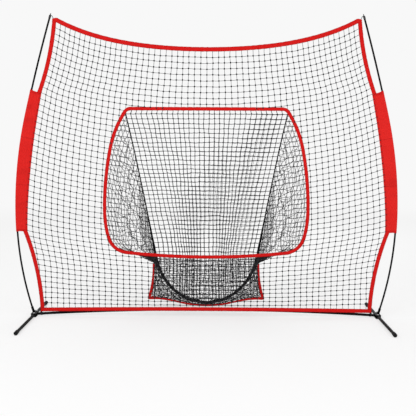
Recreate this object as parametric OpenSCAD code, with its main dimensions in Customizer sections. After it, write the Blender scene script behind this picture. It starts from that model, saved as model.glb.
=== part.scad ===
// Pitching target net: a sprung bow frame on folding legs, with a strike-zone
// opening and a ball pocket behind it. Millimetres, +Z up. The net faces -Y, the
// pocket hangs at +Y, and z = 0 is the ground that the rubber leg caps stand on.

/* [Base] */
// Distance between the centres of the two foot brackets
base_span = 2134; // [1900:1:2300]
// Rise of the crossbar's middle above its ends
crossbar_rise = 32; // [10:1:60]
// Outer diameter of the crossbar tube
crossbar_d = 16; // [14:0.5:18]
// Wall of the crossbar tube
crossbar_wall = 1.4; // [1:0.1:2]
// Wall of the joiner and of the bracket spigots
spigot_wall = 1.3; // [1:0.1:1.6]
// Length of the joiner inside the two crossbar halves
joiner_length = 160; // [120:1:240]
// Reach of a bracket spigot into the crossbar
spigot_length = 60; // [55:1:90]

/* [Legs] */
// Outer diameter of a leg tube
leg_d = 18; // [17:0.5:20]
// Wall of a leg tube
leg_wall = 1.5; // [1:0.1:2.5]
// Reach of a front leg from its pivot to the tube's end
front_leg_length = 402; // [300:1:520]
// Reach of a rear leg from its pivot to the tube's end
rear_leg_length = 258; // [200:1:400]
// Distance from the crossbar's plane to each leg pivot
pivot_offset = 32; // [30:0.5:45]
// Wall of a rubber leg cap
cap_wall = 2.2; // [2:0.1:4]
// Height of the flat pad under a leg cap
cap_pad_h = 0.5; // [0.5:0.1:3]
// Length of a rubber leg cap
cap_length = 40; // [30:1:60]
// Wall at the closed end of a leg cap
cap_end = 6; // [3:0.5:10]
// Width of the flat pad under a leg cap
cap_pad_w = 12; // [8:1:16]

/* [Foot brackets] */
// Thickness of the bracket's plates and web
bracket_wall = 2; // [1.6:0.1:2]
// Reach of the bracket from the leg pivots towards the crossbar
bracket_inner = 15; // [14:0.5:20]
// Reach of the bracket past each leg pivot along the legs
bracket_overhang = 16; // [14:0.5:24]
// Diameter of a leg pivot pin
pivot_d = 8; // [6:0.5:10]
// Height of a leg pivot pin's head
pivot_head_h = 3; // [2:0.5:5]
// Reach of a leg's rounded end past its pivot
leg_nose = 12; // [11:0.5:12.5]

/* [Bow poles] */
// Outer diameter of a bow pole
pole_d = 11; // [9:0.5:12]
// Wall of a bow pole
pole_wall = 1.5; // [1:0.1:2]
// Distance of a pole's foot outside the leg pivots
foot_offset = 9.3; // [8:0.1:12]
// Length of each of a pole's three sections
section_length = 615; // [590:1:640]
// Outward lean of a pole at its foot, in degrees, which its lower section bends upright
foot_lean = 17.2; // [14:0.1:19]
// Inward bend of a pole's middle section, in degrees
middle_bend = 13.3; // [11:0.1:15]
// Inward bend of a pole's upper section, in degrees
upper_bend = 3.4; // [1:0.1:6]
// Length of a ferrule inside a pole joint
ferrule_length = 60; // [40:1:66]
// Wall of a ferrule
ferrule_wall = 1.5; // [1:0.1:1.7]
// Diameter of the shock cord inside a pole
shock_cord_d = 3.2; // [2:0.1:3.6]
// Height of a pole socket along the pole
socket_length = 32; // [20:1:50]
// Wall of a pole socket
socket_wall = 2; // [1.5:0.1:3]
// Length of the nose on a pole's tip cap
nose_length = 12; // [8:1:20]
// Diameter of the nose on a pole's tip cap
nose_d = 5; // [4:0.5:6]

/* [Snap buttons] */
// Diameter of a snap button
button_d = 6; // [5:0.5:7]
// Travel of a snap button
button_travel = 4; // [3.6:0.1:4.2]
// Distance from a tube joint to its snap button
button_inset = 40; // [30:1:50]

/* [Sleeves] */
// Distance along a pole from its foot to its sleeve
sleeve_start = 514; // [480:1:560]
// Length of a sleeve along its pole
sleeve_length = 876; // [780:1:920]
// Reach of a sleeve's panel from the pole at its ends
sleeve_end_w = 60; // [50:1:80]
// Extra reach of a sleeve's panel at its middle
sleeve_belly = 14; // [0:1:20]
// Thickness of the sleeve cloth
sleeve_cloth = 1.3; // [1:0.1:1.5]

/* [Net] */
// Inset of the net's top corners from the poles
top_corner_inset = 43; // [40:1:70]
// Drop of the net's top corners below the poles' ends
top_corner_drop = 26; // [24:1:60]
// Inset of the net's bottom corners from the leg pivots
bottom_corner_inset = 57; // [50:1:80]
// Height of the net's bottom corners
net_bottom = 51; // [50:1:60]
// Rise of the net's bottom edge at its middle
bottom_rise = 7; // [0:1:12]
// Sag of the net's top edge at its middle
top_sag = 172; // [120:1:220]
// Inward bow of the net's side edges below the sleeves
low_side_bow = 19; // [0:1:30]
// Inward bow of the net's side edges above the sleeves
high_side_bow = 14; // [0:1:20]
// Width of the side and bottom bindings
binding_w = 20; // [15:1:20]
// Width of the top binding
top_binding_w = 24; // [18:1:28]
// Thickness of every binding
binding_t = 3; // [2.4:0.1:3.2]
// Net columns across the frame
net_columns = 21; // [12:1:21]
// Net rows up the frame
net_rows = 19; // [10:1:19]
// Width of a net cord
cord_w = 4; // [3:0.5:6]
// Thickness of a net cord
cord_t = 2; // [1.5:0.1:2.2]

/* [Target opening] */
// Height of the opening's lowest point
opening_low = 377; // [350:1:420]
// Bend radius of the opening's bottom edge
opening_bottom_r = 4700; // [4000:10:5200]
// Bend radius of the opening's bottom corners
opening_corner_r = 129; // [100:1:150]
// Bend radius of the opening's sides below their widest point
opening_hip_r = 637; // [560:1:680]
// Bend radius of the opening's sides above their widest point
opening_side_r = 1925; // [1750:1:2000]
// Bend radius of the opening's shoulders
opening_shoulder_r = 645; // [580:1:680]
// Bend radius of the opening's top corners
opening_top_r = 42; // [30:1:60]
// Width of the opening's binding
ring_w = 19; // [15:1:22]

/* [Ball pocket] */
// Thickness of the pocket's net cloth
pocket_cloth = 1.4; // [1:0.1:1.6]
// Depth of the pocket's seams behind the frame at their knees
pocket_depth = 415; // [380:1:440]
// Height of the seams' knees
pocket_knee_h = 330; // [280:1:400]
// Distance of the seams' knees from the middle
pocket_knee_w = 350; // [300:1:400]
// Depth of the pocket's toe, its lowest point, behind the frame
pocket_toe_depth = 335; // [300:1:360]
// Extra depth of the pocket's back between its seams
pocket_belly = 26; // [0:1:40]
// Gap between the pocket's toe and the ground
pocket_clear = 3; // [2:0.5:10]
// Diameter of the pocket's seam where it leaves the opening
seam_d = 7; // [5:0.5:9]
// Diameter of the pocket's seam round its foot, where the net is gathered in
seam_foot_d = 18; // [9:0.5:22]
// Diameter of the binding round the pocket's apron
apron_trim_d = 6; // [5:0.5:7]
// Distance of the apron's bottom corners from the middle
apron_corner_w = 362; // [340:1:380]
// Height of the apron's bottom corners
apron_corner_h = 95; // [80:1:120]
// Height of the apron's lower edge at its middle
apron_low = 45; // [35:1:60]
// Distance from the middle at which the gussets leave the opening's bottom edge
gusset_reach = 425; // [380:1:460]

/* [Hidden] */

// Clearances
slide_gap = 0.1;    // telescoping tubes, all round
pin_gap = 0.05;     // pivot pins in their holes, all round
leg_gap = 0.3;      // legs between the bracket's plates
soft_gap = 0.3;     // cloth against its neighbours
button_gap = 0.15;  // snap buttons in their holes

// Facets of drawn circles, bends and cloth
round_fn = 48;
bend_fn = 1440;

frame_black = "#151517";
plastic_black = "#232325";
net_black = "#3a3a3c";
cloth_red = "#e22a26";
steel_grey = "#8f9296";

// ---- Paths in the X-Z plane -------------------------------------------------
// A path is [start, heading, steps]. A heading is turned from +Z towards +X. A step is
// [radius, turn in degrees], or [0, length] where it runs straight.

function step_length(step) = step[0] == 0 ? step[1] : step[0] * abs(step[1]) * PI / 180;

function total(v, i = 0) = i >= len(v) ? 0 : v[i] + total(v, i + 1);

function path_length(path) = total([for (step = path[2]) step_length(step)]);

function advance(p, h, step, d) =
    step[0] == 0 ? [p + d * [sin(h), cos(h)], h] :
    let (way = sign(step[1]), turn = way * d / step[0] * 180 / PI)
    [p + way * step[0] * [cos(h) - cos(h + turn), sin(h + turn) - sin(h)], h + turn];

function walk(p, h, steps, d, i) =
    let (span = step_length(steps[i]))
    d <= span || i == len(steps) - 1 ? advance(p, h, steps[i], d) :
    let (at = advance(p, h, steps[i], span)) walk(at[0], at[1], steps, d - span, i + 1);

// The step that a distance along a path falls in
function step_at(path, d, i = 0) =
    let (span = step_length(path[2][i]))
    d <= span || i == len(path[2]) - 1 ? path[2][i] :
    step_at(path, d - span, i + 1);

// The point and heading at a distance along a path
function pose(path, d) = walk(path[0], path[1], path[2], d, 0);

// A point beside a path, to the right of its heading
function beside(path, d, off) =
    let (at = pose(path, d)) at[0] + off * [cos(at[1]), -sin(at[1])];

// Stands a shape drawn round the Z axis at a place along a path
module at_path(path, d) {
    at = pose(path, d);
    translate([at[0][0], 0, at[0][1]])
        rotate([0, at[1], 0])
            children();
}

// A tube, or a rod where r_in is 0, from d0 to d1 along one step of a path
module run(path, d0, d1, r_out, r_in = 0) {
    from = pose(path, d0);
    bend(from[0], from[1], step_at(path, (d0 + d1) / 2), d1 - d0, r_out, r_in);
}

module bend(p, h, step, length, r_out, r_in) {
    r = step[0];
    turn = sign(step[1]) * length / r * 180 / PI;
    centre = p + sign(turn) * r * [cos(h), -sin(h)];
    start = turn < 0 ? -h : 180 - h - turn;
    translate([centre[0], 0, centre[1]])
        rotate([90, 0, 0])
            rotate([0, 0, start])
                rotate_extrude(angle = abs(turn), $fn = bend_fn)
                    translate([r, 0])
                        ring_profile(r_out, r_in);
}

module ring_profile(r_out, r_in) {
    difference() {
        circle(r_out, $fn = round_fn);
        if (r_in > 0)
            circle(r_in, $fn = round_fn);
    }
}

module tube(h, r_out, r_in) {
    linear_extrude(h)
        ring_profile(r_out, r_in);
}

// Stands a 2-D shape drawn in X and Z up in the frame's plane, from y0 to y1
module upright(y0, y1) {
    translate([0, y1, 0])
        rotate([90, 0, 0])
            linear_extrude(y1 - y0)
                children();
}

// ---- Cloth ------------------------------------------------------------------

function unit(v) = v / norm(v);

function bezier(c, t) =
    pow(1 - t, 3) * c[0] + 3 * t * pow(1 - t, 2) * c[1]
    + 3 * t * t * (1 - t) * c[2] + pow(t, 3) * c[3];

// The direction square to a grid of points at row i, column j
function grid_normal(g, i, j) =
    let (
        down = g[min(i + 1, len(g) - 1)][j] - g[max(i - 1, 0)][j],
        across = g[i][min(j + 1, len(g[0]) - 1)] - g[i][max(j - 1, 0)]
    )
    unit(cross(across, down));

// A closed sheet of cloth, half its thickness to each side of a grid of points
module sheet(g, t) {
    rows = len(g);
    cols = len(g[0]);
    back = rows * cols;
    points = [
        for (side = [0.5, -0.5], i = [0:rows - 1], j = [0:cols - 1])
            g[i][j] + side * t * grid_normal(g, i, j)
    ];
    function id(i, j) = i * cols + j;
    rim = concat(
        [for (j = [0:cols - 1]) id(0, j)],
        [for (i = [1:rows - 1]) id(i, cols - 1)],
        [for (j = [cols - 2:-1:0]) id(rows - 1, j)],
        [for (i = [rows - 2:-1:1]) id(i, 0)]
    );
    faces = concat(
        [for (i = [0:rows - 2], j = [0:cols - 2]) each [
            [id(i, j), id(i + 1, j), id(i + 1, j + 1)],
            [id(i, j), id(i + 1, j + 1), id(i, j + 1)],
            [back + id(i, j), back + id(i + 1, j + 1), back + id(i + 1, j)],
            [back + id(i, j), back + id(i, j + 1), back + id(i + 1, j + 1)]
        ]],
        [for (k = [0:len(rim) - 1]) let (a = rim[k], b = rim[(k + 1) % len(rim)]) each [
            [a, b, back + b],
            [a, back + b, back + a]
        ]]
    );
    polyhedron(points, faces);
}

// A round cord of few sides through a row of points: r is its radius, or one for each point
module piping(points, r, sides = 8) {
    n = len(points);
    radii = is_list(r) ? r : [for (p = points) r];
    ring = [for (i = [0:n - 1])
        let (
            along = unit(points[min(i + 1, n - 1)] - points[max(i - 1, 0)]),
            side = unit(cross(along, [0, 1, 0.2])),
            up = cross(side, along)
        )
        for (k = [0:sides - 1])
            points[i] + radii[i] * (cos(360 * k / sides) * side + sin(360 * k / sides) * up)
    ];
    wall = [for (i = [0:n - 2], k = [0:sides - 1])
        let (a = i * sides + k, b = i * sides + (k + 1) % sides)
        each [[a, b, b + sides], [a, b + sides, a + sides]]
    ];
    first = [for (k = [1:sides - 2]) [0, k + 1, k]];
    end = (n - 1) * sides;
    last = [for (k = [1:sides - 2]) [end, end + k, end + k + 1]];
    polyhedron(ring, concat(wall, first, last));
}

// ---- Places worked out from the sizes ---------------------------------------

half_span = base_span / 2;
leg_r = leg_d / 2;
cap_r = leg_r + cap_wall;
leg_height = cap_r + cap_pad_h;
pole_r = pole_d / 2;
button_r = button_d / 2;

// The bracket's lower plate, its upper plate and its web, on the right side
lower_plate_z = leg_height - leg_r - leg_gap - bracket_wall;
upper_plate_z = leg_height + leg_r + leg_gap;
bracket_top = upper_plate_z + bracket_wall;
bracket_end = pivot_offset + bracket_overhang;
web_x = leg_nose + 2.5;
core_half = pivot_offset - leg_nose - 1;

// The crossbar's arc, carried on past both its ends for the spigots' roots
joint_gap = 0.6;
spigot_root = 12;
crossbar_half = half_span - bracket_inner - joint_gap;
crossbar_r = (pow(crossbar_half, 2) + pow(crossbar_rise, 2)) / (2 * crossbar_rise);
crossbar_swing = asin((crossbar_half + spigot_root) / crossbar_r);
crossbar_path = [
    [-crossbar_half - spigot_root, leg_height + crossbar_rise - crossbar_r * (1 - cos(crossbar_swing))],
    90 - crossbar_swing,
    [[crossbar_r, 2 * crossbar_swing]]
];
crossbar_mid = path_length(crossbar_path) / 2;
crossbar_end = crossbar_mid + crossbar_r * asin(crossbar_half / crossbar_r) * PI / 180;
spigot_r = crossbar_d / 2 - crossbar_wall - slide_gap;
spigot_bore = spigot_r - spigot_wall;

// The right-hand bow pole
foot_z = bracket_top + leg_gap + pole_r * sin(foot_lean);
bow_path = [
    [half_span + foot_offset, foot_z],
    foot_lean,
    [for (turn = [foot_lean, middle_bend, upper_bend]) [section_length / turn * 180 / PI, -turn]]
];
bow_length = path_length(bow_path);
ferrule_r = pole_r - pole_wall - 3 * slide_gap;
tip_wall = 1.2;
sleeve_end = sleeve_start + sleeve_length;

// The right-hand edge of the net, from its bottom corner to its top corner
function sleeve_reach(q) = sleeve_end_w + sleeve_belly * sin(180 * q);
function bowed(a, b, bow, t) =
    let (c = b - a) a + t * c + 4 * bow * t * (1 - t) * unit([-c[1], c[0]]);
bottom_corner = [half_span - bottom_corner_inset, net_bottom];
sleeve_foot = beside(bow_path, sleeve_start, -sleeve_end_w);
sleeve_head = beside(bow_path, sleeve_end, -sleeve_end_w);
top_corner = beside(bow_path, bow_length - top_corner_drop, -top_corner_inset);
low_edge = [for (k = [0:10]) bowed(bottom_corner, sleeve_foot, low_side_bow, k / 10)];
sleeve_edge = [for (q = [1:15]) beside(bow_path, sleeve_start + sleeve_length * q / 16,
    -sleeve_reach(q / 16))];
high_edge = [for (k = [0:10]) bowed(sleeve_head, top_corner, high_side_bow, k / 10)];
side_edge = concat(low_edge, sleeve_edge, high_edge);
side_table = [for (p = side_edge) [p[1], p[0]]];

// The net's height at its top and bottom edges: a hanging curve, and a shallow arch
top_curve = 2.3;
function cosh(a) = (exp(a) + exp(-a)) / 2;
function top_z(x) = top_corner[1] - top_sag
    * (1 - (cosh(top_curve * x / top_corner[0]) - 1) / (cosh(top_curve) - 1));
function bottom_z(x) = net_bottom + bottom_rise * (1 - pow(x / bottom_corner[0], 2));

// A point of the net: u runs across it from -1 to 1, and v runs up it from 0 to 1
function net_point(u, v) =
    let (
        low = bottom_z(u * bottom_corner[0]),
        high = top_z(u * top_corner[0]),
        z = low + v * (high - low)
    )
    [u * lookup(z, side_table), z];
edge_parts = 32;
top_edge = [for (k = [0:edge_parts]) net_point(1 - 2 * k / edge_parts, 1)];
bottom_edge = [for (k = [0:edge_parts]) net_point(2 * k / edge_parts - 1, 0)];
function mirrored(points) = [for (k = [len(points) - 1:-1:0]) [-points[k][0], points[k][1]]];
function without_ends(points) = [for (k = [1:len(points) - 2]) points[k]];
net_outline = concat(bottom_edge, without_ends(side_edge), top_edge,
    without_ends(mirrored(side_edge)));

// The net and its bindings stand just in front of the crossbar
net_y = -crossbar_d / 2 - 0.5 - binding_t / 2;
binding_back = net_y + binding_t / 2;

// The target opening's outline, from the middle of its bottom edge up its right side
opening_turns = [6, 69, 15, 11.3, 21.7, 57];
opening_bends = [
    [opening_bottom_r, -opening_turns[0]], [opening_corner_r, -opening_turns[1]],
    [opening_hip_r, -opening_turns[2]], [opening_side_r, -opening_turns[3]],
    [opening_shoulder_r, -opening_turns[4]], [opening_top_r, -opening_turns[5]]
];
opening_bent = [[0, opening_low], 90, opening_bends];
opening_top = pose(opening_bent, path_length(opening_bent))[0];
opening_path = [[0, opening_low], 90, concat(opening_bends, [[0, opening_top[0]]])];
shoulder_at = path_length(opening_bent) - step_length(opening_bends[5]);
shoulder = pose(opening_path, shoulder_at)[0];

// Points beside a path, with a fine enough step for each bend
function trace(path, off, fine = 3) = concat([
    for (i = [0:len(path[2]) - 1])
        let (
            before = total([for (j = [0:1:i - 1]) step_length(path[2][j])]),
            step = path[2][i],
            n = step[0] == 0 ? 1 : ceil(abs(step[1]) / fine)
        )
        for (k = [0:n - 1]) beside(path, before + step_length(step) * k / n, off)
], [beside(path, path_length(path), off)]);
function closed_loop(half) = concat(half, without_ends(mirrored(half)));
ring_outer = trace(opening_path, ring_w / 2);
ring_inner = trace(opening_path, -ring_w / 2);
ring_table = [for (p = ring_outer) [p[1], p[0]]];
function in_opening(p) =
    p[1] > ring_outer[0][1] && p[1] < ring_outer[len(ring_outer) - 1][1]
    && abs(p[0]) < lookup(p[1], ring_table);

// The open cells of the net, a full cord in from its rim and half a cord from each line
function cell(i, j) =
    let (
        du = cord_w / (bottom_corner[0] + top_corner[0]),
        dv = cord_w / 2 / (top_corner[1] - net_bottom),
        u0 = -1 + 2 * i / net_columns + du * (i == 0 ? 2 : 1),
        u1 = -1 + 2 * (i + 1) / net_columns - du * (i == net_columns - 1 ? 2 : 1),
        v0 = j / net_rows + dv * (j == 0 ? 2 : 1),
        v1 = (j + 1) / net_rows - dv * (j == net_rows - 1 ? 2 : 1)
    )
    [net_point(u0, v0), net_point(u1, v0), net_point(u1, v1), net_point(u0, v1)];
function is_open(c) = in_opening(c[0]) && in_opening(c[1]) && in_opening(c[2]) && in_opening(c[3]);
net_cells = [
    for (i = [0:net_columns - 1], j = [0:net_rows - 1])
        let (c = cell(i, j)) if (!is_open(c)) c
];

// The pocket's seam on the right side: it falls from the opening's shoulder to a knee, and
// runs in from there to the toe
swell_start = 0.2;
swell_end = 0.55;
function swell(t) =
    let (s = min(max((t - swell_start) / (swell_end - swell_start), 0), 1))
    s * s * (3 - 2 * s);
function seam_r(t) = seam_d / 2 + (seam_foot_d - seam_d) / 2 * swell(t);
seam_top = [shoulder[0], binding_back + soft_gap + seam_r(0), shoulder[1] + 8];
seam_knee = [pocket_knee_w, pocket_depth, pocket_knee_h];
seam_toe = [0, pocket_toe_depth, pocket_clear + seam_r(1)];
seam_fall = [seam_top, seam_top + [-52, 115, -273], seam_knee + [48, -20, 290], seam_knee];
seam_foot = [seam_knee, seam_knee + [-35, 13, -200], seam_toe + [185, 10, 0], seam_toe];
function seam(t) = t < 0.5 ? bezier(seam_fall, 2 * t) : bezier(seam_foot, 2 * t - 1);
function seam_room(t) = seam_r(t) + soft_gap + pocket_cloth / 2;
function seam_along(t) = unit(seam(min(t + 0.005, 1)) - seam(max(t - 0.005, 0)));
function seam_inside(t) =
    let (along = seam_along(t), fall = norm([along[1], along[2]]))
    seam(t) + seam_room(t) * [-fall, along[0] * along[1] / fall, along[0] * along[2] / fall];

// The apron's edge on the right side: down its side to the corner, and in to the middle
trim_r = apron_trim_d / 2;
trim_room = trim_r + soft_gap + pocket_cloth / 2;
cloth_y = binding_back + soft_gap + pocket_cloth / 2;
function opening_bottom_z(x) = opening_low + x * x / (2 * opening_bottom_r);
apron_head_w = apron_corner_w - 36;
apron_head = [apron_head_w, binding_back + soft_gap + trim_r, opening_bottom_z(apron_head_w)];
apron_corner = [apron_corner_w, 92, apron_corner_h];
apron_middle = [0, 120, apron_low];
apron_side = [apron_head, apron_head + [-4, 30, -90], apron_corner + [-30, -32, 95], apron_corner];
apron_hem = [apron_corner, apron_corner + [-132, 3, 3], apron_middle + [150, 0, 0], apron_middle];

// ---- Base -------------------------------------------------------------------

module crossbar() {
    color(frame_black)
        difference() {
            run(crossbar_path, crossbar_mid, crossbar_end, crossbar_d / 2, crossbar_d / 2 - crossbar_wall);
            button_hole(crossbar_mid + button_inset);
            button_hole(crossbar_end - button_inset);
        }
}

module button_hole(d) {
    at_path(crossbar_path, d)
        rotate([-90, 0, 0])
            cylinder(h = crossbar_d, r = button_r + button_gap, $fn = round_fn);
}

module crossbar_joiner() {
    reach = joiner_length / 2;
    color(steel_grey)
        difference() {
            run(crossbar_path, crossbar_mid - reach, crossbar_mid + reach, spigot_r, spigot_bore);
            button_hole(crossbar_mid - button_inset);
            button_hole(crossbar_mid + button_inset);
        }
}

// A domed pin on a flange that the spigot's wall holds in
module snap_button(d) {
    flange_r = button_r + 1;
    flange_top = sqrt(pow(spigot_bore, 2) - pow(flange_r, 2)) - slide_gap;
    dome_y = crossbar_d / 2 - button_r + 1.6;
    color(steel_grey)
        at_path(crossbar_path, d)
            rotate([-90, 0, 0]) {
                translate([0, 0, flange_top - 1])
                    cylinder(h = 1, r = flange_r, $fn = round_fn);
                translate([0, 0, flange_top - 0.5])
                    cylinder(h = dome_y - flange_top + 0.5, r = button_r, $fn = round_fn);
                translate([0, 0, dome_y])
                    sphere(button_r, $fn = round_fn);
            }
}

// A bent leaf spring in the spigot's bore, pressing a snap button out
module button_spring(d) {
    leaf = 0.6;
    half_w = 3;
    low = -sqrt(pow(spigot_bore, 2) - pow(half_w, 2)) + slide_gap;
    high = sqrt(pow(spigot_bore, 2) - pow(button_r + 1, 2)) - 1 - 2 * slide_gap;
    color(steel_grey)
        at_path(crossbar_path, d)
            translate([half_w, 0, 0])
                rotate([0, -90, 0])
                    linear_extrude(2 * half_w)
                        polygon([
                            [-22, low], [8, low], [8, low + leaf], [-20, low + leaf],
                            [4, high - leaf], [4, high], [-22, low + 2 * leaf]
                        ]);
}

// The right-hand bracket: two plates and a web that hold both legs, and a core between
// them that carries the spigot
module corner_bracket() {
    plate_x0 = half_span - bracket_inner;
    plate_x1 = half_span + web_x + bracket_wall;
    color(frame_black)
        difference() {
            union() {
                for (z = [lower_plate_z, upper_plate_z])
                    translate([0, 0, z])
                        linear_extrude(bracket_wall)
                            plate_shape(plate_x0, plate_x1);
                translate([half_span + web_x, -bracket_end + 6, lower_plate_z])
                    cube([bracket_wall, 2 * bracket_end - 12, bracket_top - lower_plate_z]);
                translate([plate_x0, -core_half, lower_plate_z + 1])
                    cube([web_x + bracket_inner + 1, 2 * core_half, bracket_top - lower_plate_z - 2]);
                run(crossbar_path, crossbar_end - spigot_length, crossbar_end + spigot_root, spigot_r);
            }
            run(crossbar_path, crossbar_end - spigot_length - 1, crossbar_end, spigot_bore);
            button_hole(crossbar_end - button_inset);
            for (y = [-pivot_offset, pivot_offset])
                translate([half_span, y, lower_plate_z - 1])
                    cylinder(h = bracket_top - lower_plate_z + 2, r = pivot_d / 2 + pin_gap, $fn = round_fn);
        }
}

module plate_shape(x0, x1) {
    corner = 6;
    translate([x0, -bracket_end + corner])
        square([x1 - x0, 2 * (bracket_end - corner)]);
    translate([x0 + corner, -bracket_end])
        square([x1 - x0 - 2 * corner, 2 * bracket_end]);
    for (x = [x0 + corner, x1 - corner], y = [-bracket_end + corner, bracket_end - corner])
        translate([x, y])
            circle(corner, $fn = round_fn);
}

// A pin through both plates and the leg, with a domed head on top
module pivot_pin(y) {
    head_r = pivot_d / 2 + 3;
    color(steel_grey)
        translate([half_span, y, 0]) {
            translate([0, 0, lower_plate_z])
                cylinder(h = bracket_top - lower_plate_z, r = pivot_d / 2, $fn = round_fn);
            translate([0, 0, bracket_top])
                cylinder(h = pivot_head_h / 2, r = head_r, $fn = round_fn);
            translate([0, 0, bracket_top + pivot_head_h / 2])
                cylinder(h = pivot_head_h / 2, r1 = head_r, r2 = head_r - 1.5, $fn = round_fn);
        }
}

// A leg tube on its pivot: dir is -1 for the front and 1 for the rear
module leg(dir, length) {
    color(frame_black)
        translate([half_span, dir * pivot_offset, leg_height])
            rotate([0, 0, dir > 0 ? 0 : 180])
                difference() {
                    intersection() {
                        translate([0, -leg_nose, 0])
                            rotate([-90, 0, 0])
                                tube(length + leg_nose, leg_r, leg_r - leg_wall);
                        union() {
                            translate([0, 0, -leg_d])
                                cylinder(h = 2 * leg_d, r = leg_nose, $fn = round_fn);
                            translate([-leg_d, 0, -leg_d])
                                cube([2 * leg_d, length + 1, 2 * leg_d]);
                        }
                    }
                    translate([0, 0, -leg_d])
                        cylinder(h = 2 * leg_d, r = pivot_d / 2 + pin_gap, $fn = round_fn);
                }
}

// A rubber cup over a leg's end, with a flat pad on the ground
module leg_cap(dir, length) {
    color(plastic_black)
        translate([half_span, dir * (pivot_offset + length), leg_height])
            rotate([0, 0, dir > 0 ? 0 : 180])
                difference() {
                    union() {
                        translate([0, cap_end - cap_length, 0])
                            rotate([-90, 0, 0])
                                tube(cap_length - 3, cap_r, 0);
                        translate([0, cap_end - 3, 0])
                            rotate([-90, 0, 0])
                                cylinder(h = 3, r1 = cap_r, r2 = cap_r - 3, $fn = round_fn);
                        translate([-cap_pad_w / 2, cap_end - cap_length + 2, -leg_height])
                            cube([cap_pad_w, cap_length - 5, cap_wall + cap_pad_h - 0.5]);
                    }
                    translate([0, -cap_length, 0])
                        rotate([-90, 0, 0])
                            tube(cap_length, leg_r + slide_gap, 0);
                }
}

// ---- Bow poles --------------------------------------------------------------

// A leaning cup round the pole's foot, with a flat base on the bracket's upper plate
module pole_socket() {
    cup_r = pole_r + slide_gap + socket_wall;
    base_r = cup_r + 0.5;
    base_h = 8;
    color(frame_black)
        difference() {
            union() {
                run(bow_path, 0, socket_length, cup_r);
                translate([bow_path[0][0], 0, bracket_top])
                    cylinder(h = base_h, r = base_r, $fn = round_fn);
            }
            run(bow_path, -slide_gap, socket_length + 1, pole_r + slide_gap);
            translate([bow_path[0][0] - base_r, -base_r, bracket_top - base_h])
                cube([2 * base_r, 2 * base_r, base_h]);
        }
}

module pole_section(k) {
    color(frame_black)
        run(bow_path, k * section_length, (k + 1) * section_length, pole_r, pole_r - pole_wall);
}

// The straight tubes that join a pole's sections inside
module pole_ferrules() {
    color(steel_grey)
        for (k = [1, 2])
            at_path(bow_path, k * section_length)
                translate([0, 0, -ferrule_length / 2])
                    tube(ferrule_length, ferrule_r, ferrule_r - ferrule_wall);
}

// The elastic cord that keeps a pole's sections together
module shock_cord() {
    reach = bow_length - 1;
    color(plastic_black)
        piping([for (k = [0:36]) let (p = beside(bow_path, 0.5 + reach * k / 36, 0)) [p[0], 0, p[1]]],
            shock_cord_d / 2, 6);
}

// A cap over the pole's top end, with a thin nose for the net's corner loop
module pole_tip() {
    cap_reach = 16;
    color(plastic_black)
        at_path(bow_path, bow_length)
            difference() {
                union() {
                    translate([0, 0, -cap_reach])
                        tube(cap_reach + tip_wall, pole_r + slide_gap + tip_wall, 0);
                    cylinder(h = nose_length, r = nose_d / 2, $fn = round_fn);
                    translate([0, 0, nose_length])
                        sphere(nose_d / 2, $fn = round_fn);
                }
                translate([0, 0, -cap_reach - 1])
                    tube(cap_reach + 1 + slide_gap, pole_r + slide_gap, 0);
            }
}

// ---- Net and cloth ----------------------------------------------------------

module main_net() {
    color(net_black)
        upright(net_y - cord_t / 2, net_y + cord_t / 2)
            difference() {
                polygon(net_outline);
                polygon(closed_loop(ring_outer));
                for (c = net_cells)
                    polygon(c);
            }
}

module binding(points) {
    color(cloth_red)
        upright(net_y - binding_t / 2, binding_back)
            polygon(points);
}

function raised(points, dz) = [for (p = points) [p[0], p[1] + dz]];
function shifted(points, dx) = [for (p = points) [p[0] + dx, p[1]]];
function reversed(points) = [for (k = [len(points) - 1:-1:0]) points[k]];

module top_binding() {
    out = top_corner[0] + binding_w;
    binding(concat(
        top_edge,
        [[-out, top_corner[1]], [-out, top_corner[1] + top_binding_w]],
        reversed(raised(top_edge, top_binding_w)),
        [[out, top_corner[1] + top_binding_w], [out, top_corner[1]]]
    ));
}

module bottom_binding() {
    out = bottom_corner[0] + binding_w;
    binding(concat(
        bottom_edge,
        [[out, net_bottom], [out, net_bottom - binding_w]],
        reversed(raised(bottom_edge, -binding_w)),
        [[-out, net_bottom - binding_w], [-out, net_bottom]]
    ));
}

// The binding of one side edge, below and above the sleeve
module side_binding() {
    for (edge = [low_edge, high_edge])
        binding(concat(edge, reversed(shifted(edge, binding_w))));
}

module target_binding() {
    color(cloth_red)
        upright(net_y - binding_t / 2, binding_back)
            difference() {
                polygon(closed_loop(ring_outer));
                polygon(closed_loop(ring_inner));
            }
}

// The sleeve's cloth, folded round the pole with both its layers run in to the net's edge
module sleeve() {
    wrap_r = pole_r + 1.4 + sleeve_cloth / 2;
    front_y = binding_back + soft_gap + sleeve_cloth / 2;
    rear_y = front_y + sleeve_cloth + 2 * soft_gap;
    function profile(w) = concat(
        [for (q = [1, 0.65, 0.3]) [-w * q, front_y]],
        [for (a = [-84:28:112]) wrap_r * [cos(a), sin(a)]],
        [for (q = [0.3, 0.65, 1]) [-w * q, rear_y]]
    );
    rows = [for (k = [0:20])
        let (q = k / 20, at = pose(bow_path, sleeve_start + sleeve_length * q))
        [for (o = profile(sleeve_reach(q) + cord_w))
            [at[0][0] + o[0] * cos(at[1]), o[1], at[0][1] - o[0] * sin(at[1])]]
    ];
    color(cloth_red)
        sheet(rows, sleeve_cloth);
}

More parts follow.
